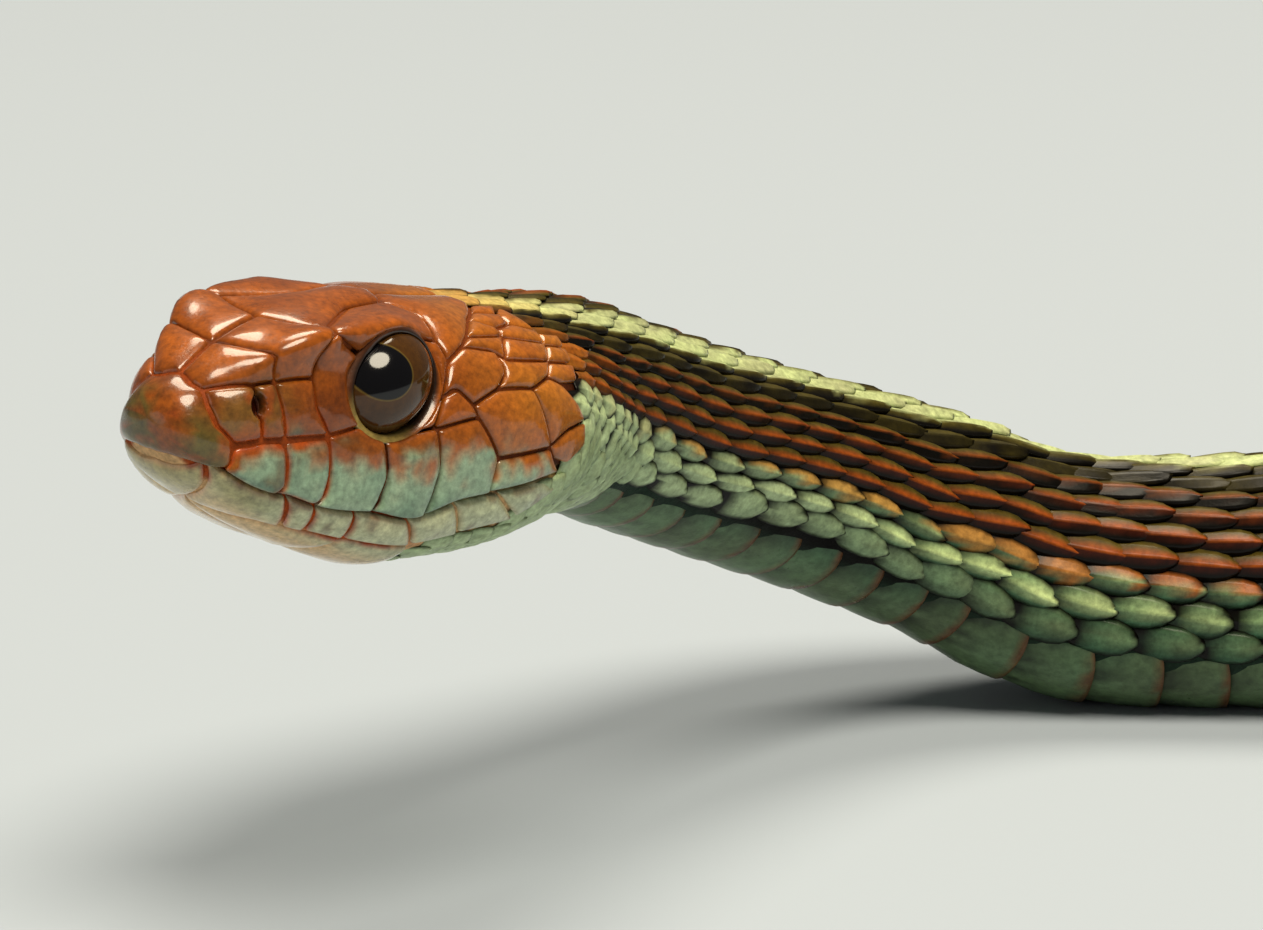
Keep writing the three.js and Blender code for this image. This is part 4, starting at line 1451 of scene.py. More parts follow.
@dataclass
class HeadShields:
    """The polished shields of the head, each a closed plate with rounded edges."""

    form: SnakeForm
    seats: tuple[EyeSeat, EyeSeat]
    colours: HeadColours
    shape: ShieldForm = field(default_factory=ShieldForm)
    rim_gap: float = 0.16
    rostral_edge: Curve = Curve(
        (0, 1.2), (17, 1.02), (32, 1.12), (50, 1.07), (70, 1.25), (83, 1.82), (92, 1.9), (105, 1.62),
        (115, 1.1), (125, 0.75), (150, 0.42), (180, 0.34))
    nostril_size: Pair = (0.3, 0.48)
    nostril_depth: float = 0.42
    suture_width: float = 0.085
    lip_gap: float = 0.6
    rostral_shares: tuple[float, ...] = (1, 0.985, 0.955, 0.9, 0.82, 0.7, 0.55, 0.4, 0.25, 0.12)
    rostral_turn: float = 4.5
    rostral_sunk: float = 0.05
    overhang: Pair = (0.1, -0.08)

    def corner(self, name: str, side: int, jaw: Jaw) -> Array:
        """Finds a named corner.

        Args:
            name: Its name.
            side: 1 for the right side and -1 for the left.
            jaw: Which jaw the shield is on.

        Returns:
            Its place and its angle.
        """
        bare = name.replace("-", "")
        place, angle = CORNERS[bare]
        if angle == 0 and bare.startswith(("lip_", "jaw_")):
            angle = float(self.colours.mouth(place)) + (self.lip_gap if jaw is Jaw.LOWER else -self.lip_gap)
        sign = side if bare == name else -side
        turn = sign * angle
        return np.array([place, turn + 360 if jaw is Jaw.LOWER and bare != name else turn])

    def outline(self, names: str, side: int, jaw: Jaw) -> Array:
        """Follows a shield's outline, along the lips and the eye where it meets them.

        Args:
            names: The names of its corners.
            side: 1 for the right side and -1 for the left.
            jaw: Which jaw it is on.

        Returns:
            The places and angles round it.
        """
        words = names.split()
        seat = self.seats[0] if side > 0 else self.seats[1]
        points = []
        for name, after in zip(words, words[1:] + words[:1]):
            if name.startswith("rim:"):
                along = after.startswith("rim:")
                turns = float(name[4:]), float((after if along else name)[4:])
                arc = seat.circle(*turns, seat.rim_radius + self.rim_gap, 16)
                points.append(arc[:-1] if along else arc[:1])
                continue
            here = self.corner(name, side, jaw)
            if all(word.startswith(("lip_", "jaw_")) for word in (name, after)):
                there = self.corner(after, side, jaw)
                places = np.linspace(here[0], there[0], 8)[:-1]
                shift = abs(here[1]) - float(self.colours.mouth(here[0]))
                points.append(np.column_stack([places, side * (self.colours.mouth(places) + shift)]))
            else:
                points.append(here[None])
        return np.concatenate(points)

    def plate(self, parts: MeshParts, spots: Array, jaw: Jaw) -> None:
        """Adds one shield.

        Args:
            parts: The piece that it joins.
            spots: The places and angles of its outline.
            jaw: Which jaw it is on.
        """
        middle = spots.mean(0)
        stretch = self.form.stretch(*middle)
        outline = evenly(spots * stretch, self.shape.step)
        after = np.roll(outline, -1, 0)
        if (outline[:, 0] * after[:, 1] - after[:, 0] * outline[:, 1]).sum() < 0:
            outline = outline[::-1]
        moved = outline + inward(outline) * self.shape.seam / 2
        onward = ((np.roll(moved, -1, 0) - moved) * (np.roll(outline, -1, 0) - outline)).sum(1) > 0
        outline = moved[onward & np.roll(onward, 1)]
        points, faces = fill(outline, self.shape, self.nostril_points(middle) * stretch)
        inset = np.maximum(inset_of(points, outline), 0)
        place, angle = (points / stretch).T
        angle = settle(angle)
        rise = self.shape.rise(inset) + self.shape.lift * (place - place.mean()) / (np.ptp(place) / 2)
        mouth = (np.abs(angle) - self.colours.mouth(place)) * stretch[1]
        overhang = self.overhang[0 if jaw is Jaw.UPPER else 1]
        rise = rise + overhang * bell(mouth, 0.5) * (1 - ease(18, 19.5, place))
        hole = self.hollow(place, angle)
        top = self.form.at(place, angle, rise - self.nostril_depth * hole)
        colour = self.paint(place, angle, inset, top, jaw, hole)
        edges = {(face[i], face[(i + 1) % 3]) for face in faces for i in range(3)}
        rim = [(a, b) for a, b in edges if (b, a) not in edges]
        starts = sorted({a for a, _ in rim})
        below = {a: len(points) + i for i, a in enumerate(starts)}
        rooted = self.form.at(place[starts], angle[starts], -self.shape.root)
        heart = self.form.at(place.mean(), angle.mean(), -self.shape.root)[None]
        middle_number = len(points) + len(starts)
        all_faces = [tuple(face) for face in faces]
        all_faces += [(b, a, below[a], below[b]) for a, b in rim]
        all_faces += [(below[b], below[a], middle_number) for a, b in rim]
        place = np.concatenate([place, place[starts], [place.mean()]])
        angle = np.concatenate([angle, angle[starts], [angle.mean()]])
        turn = angle % 360 / 360 if jaw is Jaw.LOWER else (angle + 120) / 240
        parts.add(np.concatenate([top, rooted, heart]), all_faces,
                  np.stack([0.02 + place / 21 * 0.96, 0.1 + turn * 0.88], 1),
                  skin_color=np.concatenate([colour, colour[starts], colour[:1]]))

    def nostril_points(self, near: Array) -> Array:
        """More points for the shields that meet at the nostril.

        Args:
            near: The place and angle of a shield's middle.

        Returns:
            Places and angles round the nostril on its side, or none where it is far away.
        """
        place, angle = self.colours.nostril
        if abs(near[0] - place) > 1.6 or not 40 < abs(near[1]) < 85:
            return np.zeros((0, 2))
        wide, tall = self.nostril_size
        width = self.form.stretch(place, angle)[1]
        turn = np.radians(np.arange(0, 360, 20))
        rings = [np.column_stack([place + wide * share * np.cos(turn),
                                  np.sign(near[1]) * (angle + tall / width * share * np.sin(turn))])
                 for share in (0.3, 0.55, 0.75, 0.95, 1.15, 1.4)]
        return np.concatenate(rings)

    def hollow(self, place: Array, angle: Array) -> Array:
        """How deep in the nostril each spot is.

        Args:
            place: Distances from the snout.
            angle: Angles round from the back.

        Returns:
            From 0 outside it to 1 in its middle.
        """
        wide, tall = self.nostril_size
        along, down = self.colours.from_nostril(place, angle)
        return 1 - ease(0.6, 1.1, np.hypot(along / wide, down / tall))

    def paint(self, place: Array, angle: Array, inset: Array, points: Array, jaw: Jaw,
              hole: Array) -> Array:
        """The colours over a shield, with its suture round the edge and painted shade in the nostril.

        Args:
            place: Distances from the snout.
            angle: Angles round from the back.
            inset: Distances in from the shield's edge.
            points: The points, in millimetres.
            jaw: Which jaw it is on.
            hole: How deep in the nostril each point is.

        Returns:
            A colour for each point.
        """
        is_jaw = jaw is Jaw.LOWER
        turn = np.where(np.abs(angle) > 180, 360 - np.abs(angle), np.abs(angle))
        base = (self.colours.lower if is_jaw else self.colours.upper)(place, turn, points)
        suture = self.colours.suture(place, turn, is_jaw)
        ragged = 1 + 0.6 * noise(points, 0.5, 9)
        crown = 0.3 + 0.6 * ease(56, 80, turn) * (1 - ease(9, 12, place))
        width = self.form.stretch(place.mean(), angle.mean())[1]
        from_lips = 1 - 0.8 * bell((turn - self.colours.mouth(place)) * width, 0.3)
        reach = self.suture_width * (1.7 if is_jaw else 1)
        # The nostril's hollow is painted near black: painted shade.
        return painted(base, (suture, bell(inset, reach) * ragged * crown * from_lips),
                       (COLOURS.nostril, hole))

    def rostral(self, parts: MeshParts) -> None:
        """Adds the shield over the tip of the snout.

        Args:
            parts: The piece that it joins.
        """
        turns = np.arange(-180, 180, self.rostral_turn)
        shares = np.array(self.rostral_shares)
        edge = self.rostral_edge(np.abs(turns))
        place, angle = np.outer(shares, edge).ravel(), np.tile(turns, len(shares))
        flat = self.form.at(place, angle)
        tip = self.form.at(0.0, 0.0)
        rim = np.tile(flat[:len(turns)], (len(shares), 1))
        inset = np.linalg.norm(flat - rim, axis=1)
        rise = self.shape.rise(inset) - self.rostral_sunk
        points = np.concatenate([self.form.at(place, angle, rise), tip[None] * 1.0])
        forward = -self.form.frames(np.array([0.0]))[1][0]
        points[-1] += forward * (self.shape.height + self.shape.dome - self.rostral_sunk)
        colour = self.paint(place, angle, inset, points[:-1], Jaw.UPPER, np.zeros(len(place)))
        rooted = self.form.at(edge, turns, -self.shape.root)
        count = len(turns)
        faces = [face[::-1] for face in grid_faces(len(shares), count, True)]
        last, top, low = (len(shares) - 1) * count, len(place), len(place) + 1
        heart = low + count
        for j in range(count):
            after = (j + 1) % count
            faces += [(last + j, last + after, top), (low + j, low + after, after, j),
                      (heart, low + after, low + j)]
        everything = np.concatenate([points, rooted, (tip - forward * 1.2)[None]])
        colours = np.concatenate([colour, colour[-1:], colour[:count], colour[:1]])
        radius = np.concatenate([np.repeat(shares, count), [0], np.full(count, 1.02), [1.02]])
        spin = np.radians(np.concatenate([angle, [0], turns, [0]]))
        parts.add(everything, faces,
                  0.045 + 0.04 * np.stack([radius * np.cos(spin), radius * np.sin(spin)], 1),
                  skin_color=colours)

    def build(self) -> tuple[Object, Object]:
        """Makes the shields of both jaws.

        Returns:
            The piece on the upper head and the one on the lower jaw.
        """
        material = SHIELD_KERATIN.material()
        upper, lower = MeshParts(), MeshParts()
        self.rostral(upper)
        for parts, jaw, middle, paired in ((upper, Jaw.UPPER, MIDDLE_SHIELDS, UPPER_SHIELDS),
                                           (lower, Jaw.LOWER, LOWER_MIDDLE_SHIELDS, LOWER_SHIELDS)):
            for side, shields in ((1, middle), (1, paired), (-1, paired)):
                for names in shields.values():
                    self.plate(parts, self.outline(names, side, jaw), jaw)
        for seat in self.seats:
            Eye(seat).rim(upper)
        return upper.build("head_shields", material), lower.build("jaw_shields", material)


@dataclass
class ScaleShape:
    """One scale, 1 long and 1 wide on each side of its middle, with its tip raised over the next."""

    lengths: tuple[float, ...] = (0, 0.14, 0.34, 0.55, 0.75, 0.88, 0.96, 1)
    widths: tuple[float, ...] = (-1, -0.64, -0.17, 0, 0.17, 0.64, 1)
    keel: float = 0.34
    keel_width: float = 0.13
    widest: float = 0.56
    tip_width: float = 0.42
    front_width: float = 0.55
    roundness: float = 2.5
    dome: float = 0.7
    under: float = -1.15

    def build(self, name: str) -> Object:
        """Makes the scale, closed underneath, with each point's place on it.

        Args:
            name: The object's name.

        Returns:
            The object.
        """
        u, v = grid(self.lengths, self.widths)
        ahead = np.sin(np.pi / 2 * np.minimum(u / self.widest, 1))
        front = self.front_width + (1 - self.front_width) * ahead
        behind = np.maximum(u - self.widest, 0) / (1 - self.widest)
        rear = (1 - behind ** self.roundness) ** (1 / self.roundness)
        wide = np.where(u < self.widest, front, np.maximum(rear, self.tip_width))
        x = u - 0.03 * v ** 2 * ease(0.5, 1, u) - 0.5
        z = -0.55 + 0.9 * ease(-0.25, 0.85, u) - self.dome * np.abs(v) ** 2.4 - 0.25 * ease(0.86, 1.0, u)
        z += self.keel * bell(v, self.keel_width) * ease(0.05, 0.3, u) * (1 - 0.5 * ease(0.85, 1, u))
        faces = grid_faces(len(self.lengths), len(self.widths), False)
        rim = grid_rim(len(self.lengths), len(self.widths))
        heart = len(u)
        faces += [(b, a, heart) for a, b in zip(rim, rim[1:] + rim[:1])]
        points = np.concatenate([np.stack([x, v * wide / 2, z], 1), [[-0.05, 0, self.under]]])
        mesh = bpy.data.meshes.new(name)
        mesh.from_pydata(points, [], faces)
        write_values(mesh, "spot", np.concatenate([np.stack([u, v, np.zeros(len(u))], 1), [[0.45, 0, 0]]]))
        around = {number: i / len(rim) for i, number in enumerate(rim)}
        corners = []
        for face in faces:
            if heart in face:
                corners += [(around.get(i, around[face[0]]), 0.86 if i != heart else 1.0) for i in face]
            else:
                corners += [(u[i], 0.4 + 0.4 * v[i]) for i in face]
        layer = mesh.uv_layers.new(name="patch")
        layer.uv.foreach_set("vector", np.array(corners, np.float32).ravel())
        return show(name, mesh)


@dataclass
class ScaleField:
    """Where a set of scales sits: their places, angles, sizes, rows and sides, and how their rows slope."""

    place: Array
    angle: Array
    length: Array
    width: Array
    thickness: Array
    row: Array
    side: Array
    slope: Array

    def chosen(self, mask: Array) -> "ScaleField":
        """The scales for which a mask is true."""
        return ScaleField(*(getattr(self, each)[mask] for each in self.__dataclass_fields__))

    @staticmethod
    def joined(fields: list["ScaleField"]) -> "ScaleField":
        """Several sets as one."""
        return ScaleField(*(np.concatenate([getattr(each, name) for each in fields])
                            for name in ScaleField.__dataclass_fields__))


@dataclass
class ScaleRows:
    """The rows of scales: nineteen round the body, fewer towards the vent and along the tail."""

    form: SnakeForm
    pitch: Curve = Curve(
        (11, 1.9), (17, 1.75), (26, 2.0), (31, 2.6), (37, 3.0), (60, 3.05), (68, 2.75), (80, 2.75),
        (150, 3.4), (300, 3.8), (450, 3.5), (550, 2.9), (640, 2.3), (725, 1.4))
    step: Curve = Curve(
        (17, 8.2), (26, 9.2), (29, 9.9), (37, 10.2), (43, 10.6), (50, 11.5), (54, 12.4), (59, 12.9),
        (63, 12.4), (66, 11.9), (80, 11.8), (350, 11.8), (400, 13.2), (550, 13.2), (600, 16), (640, 21),
        (690, 32), (725, 45))
    belly: Curve = Curve(
        (22, 98), (32, 100), (40, 103), (45, 106), (50, 112), (54, 119), (59, 124), (63, 119), (67, 115),
        (75, 113), (550, 113), (600, 116), (725, 122))
    lean: Curve = Curve(
        (18, 0), (26, -17), (29, -9.5), (31, -6), (35, 0), (39, 6), (43, 11), (46, 14), (50, 15.5), (54, 18),
        (59, 20), (63, 11), (66, 3), (76, 0), (725, 0))
    starts: tuple[float, ...] = (17.5, 17.6, 18.2, 18.6, 19.4, 19.8, 19.4, 18.9, 18.6, 19.0)
    folds: tuple[float, ...] = (0, 0, 0, 0, 0, 1, 2, 3, 4, 4)
    fold_reach: Pair = (19.5, 27.5)
    fold_end: Pair = (24, 31)
    fold_height: float = 0.4
    overlap: float = 1.42
    width: float = 1.2
    widths: dict[int, float] = field(default_factory=lambda: {0: 1.36, 9: 1.5})
    gular_start: Curve = Curve(
        (86, 19.6), (95, 18.6), (104, 17.6), (118, 15.8), (124, 13.6), (147, 11.7), (180, 11.7))
    gular_end: Curve = Curve((86, 27.2), (96, 25.6), (107, 24.7), (180, 24.7))
    gular_angles: tuple[float, ...] = (86, 96, 107, 118, 129, 140, 151, 162, 173)
    gular_pitch: float = 1.05
    gular_size: Triple = (1.6, 19.8, 0.16)
    gular_row: float = 10

    def counts(self, places: Array) -> Array:
        """How many scales a row has had up to each place."""
        steps = np.diff(places) / self.pitch((places[1:] + places[:-1]) / 2)
        return np.concatenate([[0], np.cumsum(steps)])

    def row(self, number: int, side: int) -> ScaleField:
        """Sets out one row of the back or the sides.

        Args:
            number: The row's number, from 0 on the back.
            side: 1 for the right side, -1 for the left and 0 for the back.

        Returns:
            The row's scales.
        """
        grid = np.arange(self.starts[number], self.form.body.total + 0.4, 0.1)
        every = np.arange(self.starts[0], self.form.body.total + 0.4, 0.1)
        count = np.interp(grid, every, self.counts(every))
        count = count + self.folds[number] * (ease(*self.fold_reach, grid) - 1)
        offset = 0.5 * (number % 2)
        first, last = math.ceil(count[0] - offset), math.floor(count[-1] - offset)
        place = np.interp(np.arange(first, last + 1) + offset, count, grid)
        step = self.step(place)
        turn = side * number * step + self.lean(place)
        keep = number * step <= self.belly(place) - 0.35 * step
        spacing, slope = np.gradient(place), np.gradient(turn, place)
        tall = 1 + self.fold_height * (number > 6) * (1 - ease(*self.fold_end, place))
        width = step * self.form.stretch(place, turn)[:, 1] * self.widths.get(number, self.width) * tall
        thick = 0.16 + 0.16 * ease(22, 60, place) + 0.1 * ease(60, 200, place) - 0.29 * ease(560, 725, place)
        found = ScaleField(place, turn, spacing * self.overlap, width, thick,
                           np.full(len(place), float(number)), np.full(len(place), float(side)), slope)
        return found.chosen(keep)

    def back(self) -> ScaleField:
        """The keeled rows."""
        rows = [self.row(0, 0)] + [self.row(number, side) for number in range(1, 9) for side in (1, -1)]
        return ScaleField.joined(rows)

    def sides(self) -> ScaleField:
        """Sets out the smooth rows beside the belly and the scales of the throat.

        Returns:
            The scales of both.
        """
        rows = [self.row(9, side) for side in (1, -1)]
        length, span, thick = self.gular_size
        for number, angle in enumerate(self.gular_angles):
            for side in (1, -1):
                start = float(self.gular_start(angle))
                place = np.arange(start + 0.5 * (number % 2), self.gular_end(angle), self.gular_pitch)
                turn = side * angle + self.lean(place)
                width = span * self.form.stretch(place, turn)[:, 1]
                length_each, thick_each, row, sides = (np.full(len(place), each) for each in
                                                       (length, thick, self.gular_row, float(side)))
                rows.append(ScaleField(place, turn, length_each, width, thick_each, row, sides,
                                       np.gradient(turn, place)))
        return ScaleField.joined(rows)


@dataclass
class ScaleCoat:
    """Scales set on the body by a node tree, then made plain meshes."""

    rows: ScaleRows
    pattern: StripePattern
    variation: float = 0.05
    tip_lift: float = 1.6
    seed: int = 7

    def tree(self) -> NodeTree:
        """Builds the tree that sets a scale on each point, turned and sized by its values.

        Returns:
            The tree.
        """
        tree = bpy.data.node_groups.new("scale_setting", "GeometryNodeTree")
        for name, kind in (("Geometry", "Geometry"), ("Scale shape", "Object"), ("Finish", "Material"),
                           ("Variation", "Float"), ("Tip lift", "Float"), ("Seed", "Int")):
            tree.interface.new_socket(name, in_out="INPUT", socket_type=f"NodeSocket{kind}")
        tree.interface.new_socket("Geometry", in_out="OUTPUT", socket_type="NodeSocketGeometry")
        given = add_node(tree, "NodeGroupInput").outputs
        turn = add_node(tree, "GeometryNodeInputNamedAttribute", {"Name": "turn"}, data_type="QUATERNION")
        size = add_node(tree, "GeometryNodeInputNamedAttribute", {"Name": "size"}, data_type="FLOAT_VECTOR")
        smallest = add_node(tree, "ShaderNodeMath", {0: 1.0, 1: given["Variation"]}, operation="SUBTRACT")
        largest = add_node(tree, "ShaderNodeMath", {0: 1.0, 1: given["Variation"]}, operation="ADD")
        chance = add_node(tree, "FunctionNodeRandomValue", {2: smallest.outputs[0], 3: largest.outputs[0],
                                                            "Seed": given["Seed"]}, data_type="FLOAT")
        sized = add_node(tree, "ShaderNodeVectorMath", {0: size.outputs[0], "Scale": chance.outputs[1]},
                         operation="SCALE")
        share = add_node(tree, "FunctionNodeRandomValue", {2: 0.3, 3: 1.7, "Seed": given["Seed"]},
                         data_type="FLOAT")
        lift = add_node(tree, "ShaderNodeMath", {0: share.outputs[1], 1: given["Tip lift"]},
                        operation="MULTIPLY")
        tip = add_node(tree, "FunctionNodeAxisAngleToRotation",
                       {"Axis": (0, -1, 0), "Angle": lift.outputs[0]})
        turned = add_node(tree, "FunctionNodeRotateRotation", {0: turn.outputs[0], 1: tip.outputs[0]},
                          rotation_space="LOCAL")
        shape = add_node(tree, "GeometryNodeObjectInfo", {"Object": given["Scale shape"]})
        placed = add_node(tree, "GeometryNodeInstanceOnPoints",
                          {"Points": given["Geometry"], "Instance": shape.outputs["Geometry"],
                           "Rotation": turned.outputs[0], "Scale": sized.outputs[0]})
        real = add_node(tree, "GeometryNodeRealizeInstances", {"Geometry": placed.outputs[0]})
        finished = add_node(tree, "GeometryNodeSetMaterial", {"Geometry": real.outputs[0],
                                                              "Material": given["Finish"]})
        add_node(tree, "NodeGroupOutput", {"Geometry": finished.outputs[0]})
        return tree

    def points(self, scales: ScaleField) -> Object:
        """Makes the points that carry the scales, with their turns, sizes and rows.

        Args:
            scales: The scales.

        Returns:
            An object of points.
        """
        form = self.rows.form
        where = form.at(scales.place, scales.angle, 0.02)
        small = form.small[0]
        turned = small * scales.slope
        back = unit(form.at(scales.place + small, scales.angle + turned)
                    - form.at(scales.place - small, scales.angle - turned))
        out = form.normal(scales.place, scales.angle)
        across = unit(np.cross(out, back))
        turns = [Matrix(np.stack([b, a, np.cross(b, a)], 1)).to_quaternion()
                 for b, a in zip(back, across)]
        mesh = bpy.data.meshes.new("scale_points")
        mesh.from_pydata(where * MM, [], [])
        write_values(mesh, "turn", np.array([tuple(turn) for turn in turns]))
        write_values(mesh, "size", np.stack([scales.length, scales.width, scales.thickness], 1) * MM)
        for name in ("row", "place", "angle", "side"):
            write_values(mesh, name, getattr(scales, name))
        write_values(mesh, "chance", np.random.default_rng(self.seed).random(len(where)))
        return stand("scale_points", mesh)

    def build(self, name: str, scales: ScaleField, shape: Object, tree: NodeTree,
              material: Material) -> Object:
        """Makes one piece of the coat.

        Args:
            name: The piece's name.
            scales: The scales of the piece.
            shape: The scale that is repeated.
            tree: The tree that sets them.
            material: Their finish.

        Returns:
            The piece, a plain mesh with its colours and its map.
        """
        carrier = self.points(scales)
        modifier = carrier.modifiers.new("scales", "NODES")
        modifier.node_group = tree
        values = {"Scale shape": shape, "Finish": material, "Variation": self.variation,
                  "Tip lift": math.radians(self.tip_lift), "Seed": self.seed}
        for socket in tree.interface.items_tree:
            if socket.in_out == "INPUT" and socket.name in values:
                modifier[socket.identifier] = values[socket.name]
        depsgraph = bpy.context.evaluated_depsgraph_get()
        mesh = bpy.data.meshes.new_from_object(carrier.evaluated_get(depsgraph), depsgraph=depsgraph)
        mesh.name = name
        bpy.data.objects.remove(carrier)
        self.paint(mesh)
        self.lay_map(mesh, scales)
        return show(name, mesh)

    def paint(self, mesh: Mesh) -> None:
        """Gives the scales their colours.

        Args:
            mesh: The piece's mesh.
        """
        spot = read_values(mesh, "spot")
        row, place, side, chance = (read_values(mesh, each) for each in ("row", "place", "side", "chance"))
        points = np.empty(len(mesh.vertices) * 3, np.float32)
        mesh.vertices.foreach_get("co", points)
        across = np.where(side == 0, np.abs(spot[:, 1]), spot[:, 1] * side)
        spots = ScaleSpots(row, place, spot[:, 0], across, chance, points.reshape(-1, 3) / MM)
        write_values(mesh, "skin_color", self.pattern.colours(spots))

    def lay_map(self, mesh: Mesh, scales: ScaleField) -> None:
        """Lays each scale out at its own place on an unwrap of the body.

        Args:
            mesh: The piece's mesh.
            scales: Its scales.
        """
        corner_point = np.empty(len(mesh.loops), np.int32)
        mesh.loops.foreach_get("vertex_index", corner_point)
        place, angle = (read_values(mesh, each)[corner_point] for each in ("place", "angle"))
        low, high = scales.place.min() - 3, scales.place.max() + 3
        patch = np.empty(len(mesh.loops) * 2, np.float32)
        mesh.uv_layers["patch"].uv.foreach_get("vector", patch)
        patch = patch.reshape(-1, 2) - (0.5, 0.5)
        size = 0.62 * np.stack([self.rows.pitch(place) / (high - low), self.rows.step(place) / 360], 1)
        root = np.stack([(place - low) / (high - low), 0.04 + (angle + 180) / 360 * 0.92], 1)
        mesh.uv_layers.remove(mesh.uv_layers["patch"])
        write_map(mesh, root + patch * size)


@dataclass
class BellyScutes:
    """The broad scutes across the belly, the pairs under the tail, and the tail's pointed tip."""

    rows: ScaleRows
    start: float = 25.2
    overlap: float = 1.35
    lengths: tuple[float, ...] = (0, 0.35, 0.65, 0.85, 0.95, 1)
    columns: int = 25
    rise: Pair = (-0.22, 0.07)
    bow: float = 0.1
    tuck: float = 0.3
    depth: float = 0.4
    map_angles: Pair = (72, 216)
    map_share: Pair = (0.68, 0.96)

    def scute(self, parts: MeshParts, place: float, start: float, end: float) -> None:
        """Adds one scute.

        Args:
            parts: The piece that it joins.
            place: The place of its middle.
            start: The angle of one end.
            end: The angle of the other.
        """
        form = self.rows.form
        length = float(self.rows.pitch(place)) * self.overlap
        columns = self.columns if abs(end - start) > 90 else self.columns // 2 + 1
        u, v = grid(self.lengths, np.linspace(-1, 1, columns))
        bowed = self.bow * np.abs(v) ** 8 * u
        spot = place + length * (u - 0.5 - bowed)
        angle = (start + end) / 2 + (end - start) / 2 * v
        height = self.rise[0] + (self.rise[1] - self.rise[0]) * ease(-0.2, 0.9, u) - self.tuck * np.abs(v) ** 12
        points = form.at(spot, angle, height)
        rim_low = form.at(np.array([place]), np.array([(start + end) / 2]), -self.depth)
        faces = grid_faces(len(self.lengths), columns, False)
        rim = grid_rim(len(self.lengths), columns)
        lowered = form.at(spot[rim], angle[rim], np.minimum(height[rim] - 0.12, -self.depth * 0.6))
        below = {a: len(u) + i for i, a in enumerate(rim)}
        heart = len(u) + len(rim)
        for a, b in zip(rim, rim[1:] + rim[:1]):
            faces += [(b, a, below[a], below[b]), (below[b], below[a], heart)]
        colour = self.paint(angle, u, points)
        low, high = self.start - 4, form.body.total + 2
        first, across = self.map_angles
        flat = np.stack([(spot - low) / (high - low), (angle % 360 - first) / across], 1)
        middle = flat.mean(0)
        flat = middle + (flat - middle) * self.map_share
        parts.add(np.concatenate([points, lowered, rim_low]), faces,
                  np.concatenate([flat, flat[rim], middle[None]]),
                  skin_color=np.concatenate([colour, colour[rim], colour[:1]]))

    def paint(self, angle: Array, u: Array, points: Array) -> Array:
        """The colours over a scute, darkened with painted shade.

        Args:
            angle: Angles round from the back.
            u: How far back over the scute each point lies, from 0 to 1.
            points: The points, in millimetres.

        Returns:
            A colour for each point.
        """
        fine, broad = noise(points, 0.5, 11), noise(points, 2.4, 12)
        side = ease(0, 26, 180 - np.abs(angle % 360 - 180) - 90)
        front = 1 - ease(0.26, 0.4, u - 0.25 * fine)
        # The dark base is painted shade; the scute grows lighter and bluer towards its ends.
        return painted(
            COLOURS.belly,
            (COLOURS.teal, 0.2 + 0.3 * broad + 0.22 * side),
            (COLOURS.teal_pale, 0.12 * side),
            (COLOURS.belly_edge, 0.8 * ease(0.91, 0.98, u + 0.04 * fine)),
            (COLOURS.black, front * (1 - 0.35 * side)))

    def tip(self, parts: MeshParts) -> None:
        """Adds the pointed scale at the end of the tail.

        Args:
            parts: The piece that it joins.
        """
        form = self.rows.form
        total = form.body.total
        places = total - np.array([4.2, 3.9, 2.5, 1.2, 0.5, 0.1])
        rise = np.array([-0.1, 0.12, 0.14, 0.06, 0.0, -0.25])
        turns = np.arange(0, 360, 22.5)
        place, angle = grid(places, turns)
        points = form.at(place, angle, np.repeat(rise, len(turns)))
        centres = form.frames(np.array([total - 4.2, total]))[0]
        flat = np.stack([0.975 + 0.02 * np.append(place - total + 4.2, [0, 4.2]) / 4.2,
                         0.02 + np.append(angle, [180, 180]) / 360 * 0.1], 1)
        parts.add(np.concatenate([points, centres]), tube_faces(len(places), len(turns)), flat,
                  skin_color=np.tile(COLOURS.olive, (len(points) + 2, 1)))

    def build(self) -> Object:
        """Makes the belly's piece.

        Returns:
            The piece.
        """
        parts = MeshParts()
        body = self.rows.form.body
        place = self.start
        while place < body.vent - 1.5:
            edge, lean = float(self.rows.belly(place)) - 3, float(self.rows.lean(place))
            self.scute(parts, place, edge + lean, 360 - edge + lean)
            place += float(self.rows.pitch(place))
        pair = 0
        while place < body.total - 4:
            edge = float(self.rows.belly(place)) + 0.5
            shift = 0.5 * float(self.rows.pitch(place))
            self.scute(parts, place, edge, 182)
            self.scute(parts, place + shift, 178, 360 - edge)
            place += float(self.rows.pitch(place))
            pair += 1
        self.tip(parts)
        log.info("belly: %d pairs under the tail", pair)
        return parts.build("belly_scutes", BELLY_KERATIN.material())


class LampKind(Enum):
    """The studio's lamps."""

    KEY = "key"
    FILL = "fill"
    RIM = "rim"


@dataclass(frozen=True)
class Lamp:
    """A soft lamp: where it stands, where it points, its size and its power."""

    kind: LampKind
    place: Triple
    aim: Triple
    size: float
    power: float
    colour: Triple = (1, 1, 1)

    def build(self) -> Object:
        """Sets the lamp up.

        Returns:
            The lamp.
        """
        data = bpy.data.lights.new(f"{self.kind.value}_lamp", "AREA")
        data.shape = "DISK"
        data.size = self.size
        data.energy = self.power
        data.color = self.colour
        made = stand(data.name, data)
        made.location = Vector(self.place)
        made.rotation_euler = (Vector(self.aim) - Vector(self.place)).to_track_quat("-Z", "Y").to_euler()
        return made


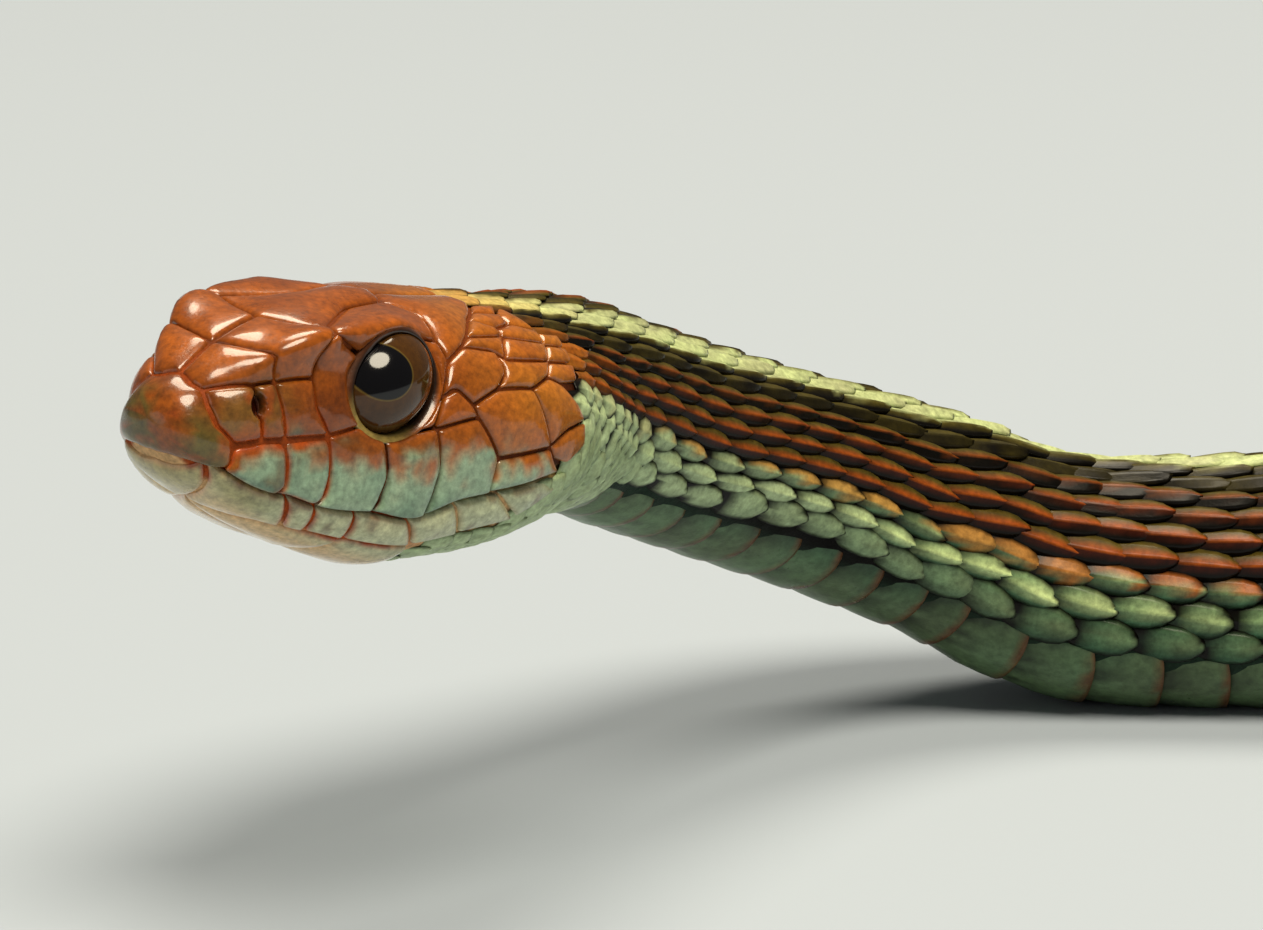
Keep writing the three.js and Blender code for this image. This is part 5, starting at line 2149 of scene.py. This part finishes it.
@dataclass
class Camera:
    """The camera, worked out from where the head stands in the photo's frame."""

    form: SnakeForm
    sensor: float = 36
    focal_pixels: float = 5156
    tilt: float = 13
    distance: float = 200
    pivot: Triple = (9, 0, 2)
    pivot_offset: Pair = (-12.78, 2.86)

    def build(self) -> Object:
        """Makes the camera and gives it to the scene.

        Returns:
            The camera.
        """
        tilt = math.radians(self.tilt)
        aside, over = self.pivot_offset
        turn = Matrix(((1, 0, 0), (0, math.cos(tilt), math.sin(tilt)), (0, -math.sin(tilt), math.cos(tilt))))
        offset = turn @ Vector((aside, self.distance, over))
        place = Vector(self.form.head_point(*self.pivot)) - offset
        data = bpy.data.cameras.new("photo_camera")
        data.sensor_width = self.sensor
        data.lens = self.focal_pixels * self.sensor / PHOTO_SIZE[0]
        data.clip_start = 0.01
        data.clip_end = 10
        made = stand(data.name, data)
        made.location = place * MM
        made.rotation_euler = (math.radians(90) - tilt, 0, 0)
        bpy.context.scene.camera = made
        return made


@dataclass
class Studio:
    """A pale floor, soft lamps and a pale surround."""

    half_width: float = 2.0
    floor_colour: str = "A4AEBC"
    surround: Triple = (1.0, 0.95, 0.88)
    surround_strength: float = 0.12
    lamps: tuple[Lamp, ...] = (
        Lamp(LampKind.KEY, (0.2, -0.5, 1.2), (0.0, -0.02, 0.02), 0.7, 22.0, (1, 0.9, 0.7)),
        Lamp(LampKind.FILL, (-1.0, -0.7, 0.3), (0.0, 0.0, 0.02), 0.6, 0.8, (1, 0.95, 0.85)),
        Lamp(LampKind.RIM, (0.0, 0.5, 1.15), (0.0, 0.0, 0.02), 0.65, 12.5, (1, 0.9, 0.7)),
    )

    def build(self) -> None:
        """Sets the studio up."""
        side = self.half_width
        mesh = bpy.data.meshes.new("studio_floor")
        mesh.from_pydata([(-side, -side, 0), (side, -side, 0), (side, side, 0), (-side, side, 0)], [],
                         [(0, 1, 2, 3)])
        paper = bpy.data.materials.new("matt_pale_paper")
        paper.use_nodes = True
        shader = paper.node_tree.nodes["Principled BSDF"]
        shader.inputs["Base Color"].default_value = (*srgb(self.floor_colour), 1)
        shader.inputs["Roughness"].default_value = 0.9
        mesh.materials.append(paper)
        floor = stand("studio_floor", mesh)
        world = bpy.data.worlds.new("pale_surround")
        world.use_nodes = True
        background = world.node_tree.nodes["Background"]
        background.inputs["Color"].default_value = (*self.surround, 1)
        background.inputs["Strength"].default_value = self.surround_strength
        bpy.context.scene.world = world
        bpy.context.scene.view_settings.view_transform = "Standard"
        for lamp in self.lamps:
            lamp.build()


def main() -> None:
    """Builds the snake and its studio."""
    logging.basicConfig(level=logging.INFO, format="%(name)s %(message)s")
    form = SnakeForm()
    seats = (EyeSeat(form, 1), EyeSeat(form, -1))
    colours = HeadColours(form)
    Studio().build()
    Camera(form).build()
    solids = [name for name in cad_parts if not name.startswith("eye_")]
    trunk = [name for name in solids if name not in ("head", "lower_jaw")]
    dress(Skin(form, seats, colours).build(), "body_skin", *trunk)
    head, jaw = HeadShields(form, seats, colours).build()
    dress(head, "head_skin", "head")
    dress(jaw, "jaw_skin", "lower_jaw")
    for seat, name in zip(seats, ("eye_right", "eye_left")):
        dress(Eye(seat).globe(f"{name}_globe"), "eye", name)
    rows = ScaleRows(form)
    coat = ScaleCoat(rows, StripePattern())
    tree = coat.tree()
    keeled = ScaleShape().build("keeled_scale")
    smooth = ScaleShape(keel=0).build("smooth_scale")
    keratin = SCALE_KERATIN.material()
    back, sides = rows.back(), rows.sides()
    for name, start, end in (("neck_scales", 0, 80), ("front_trunk_scales", 80, 250),
                             ("middle_trunk_scales", 250, 420), ("rear_trunk_scales", 420, 560),
                             ("tail_scales", 560, 800)):
        chosen = back.chosen((back.place >= start) & (back.place < end))
        dress(coat.build(name, chosen, keeled, tree, keratin), "body_skin")
    dress(coat.build("side_scales", sides, smooth, tree, keratin), "body_skin")
    for shape in (keeled, smooth):
        bpy.data.objects.remove(shape)
    dress(BellyScutes(rows).build(), "body_skin")


if __name__ == "__main__":
    main()
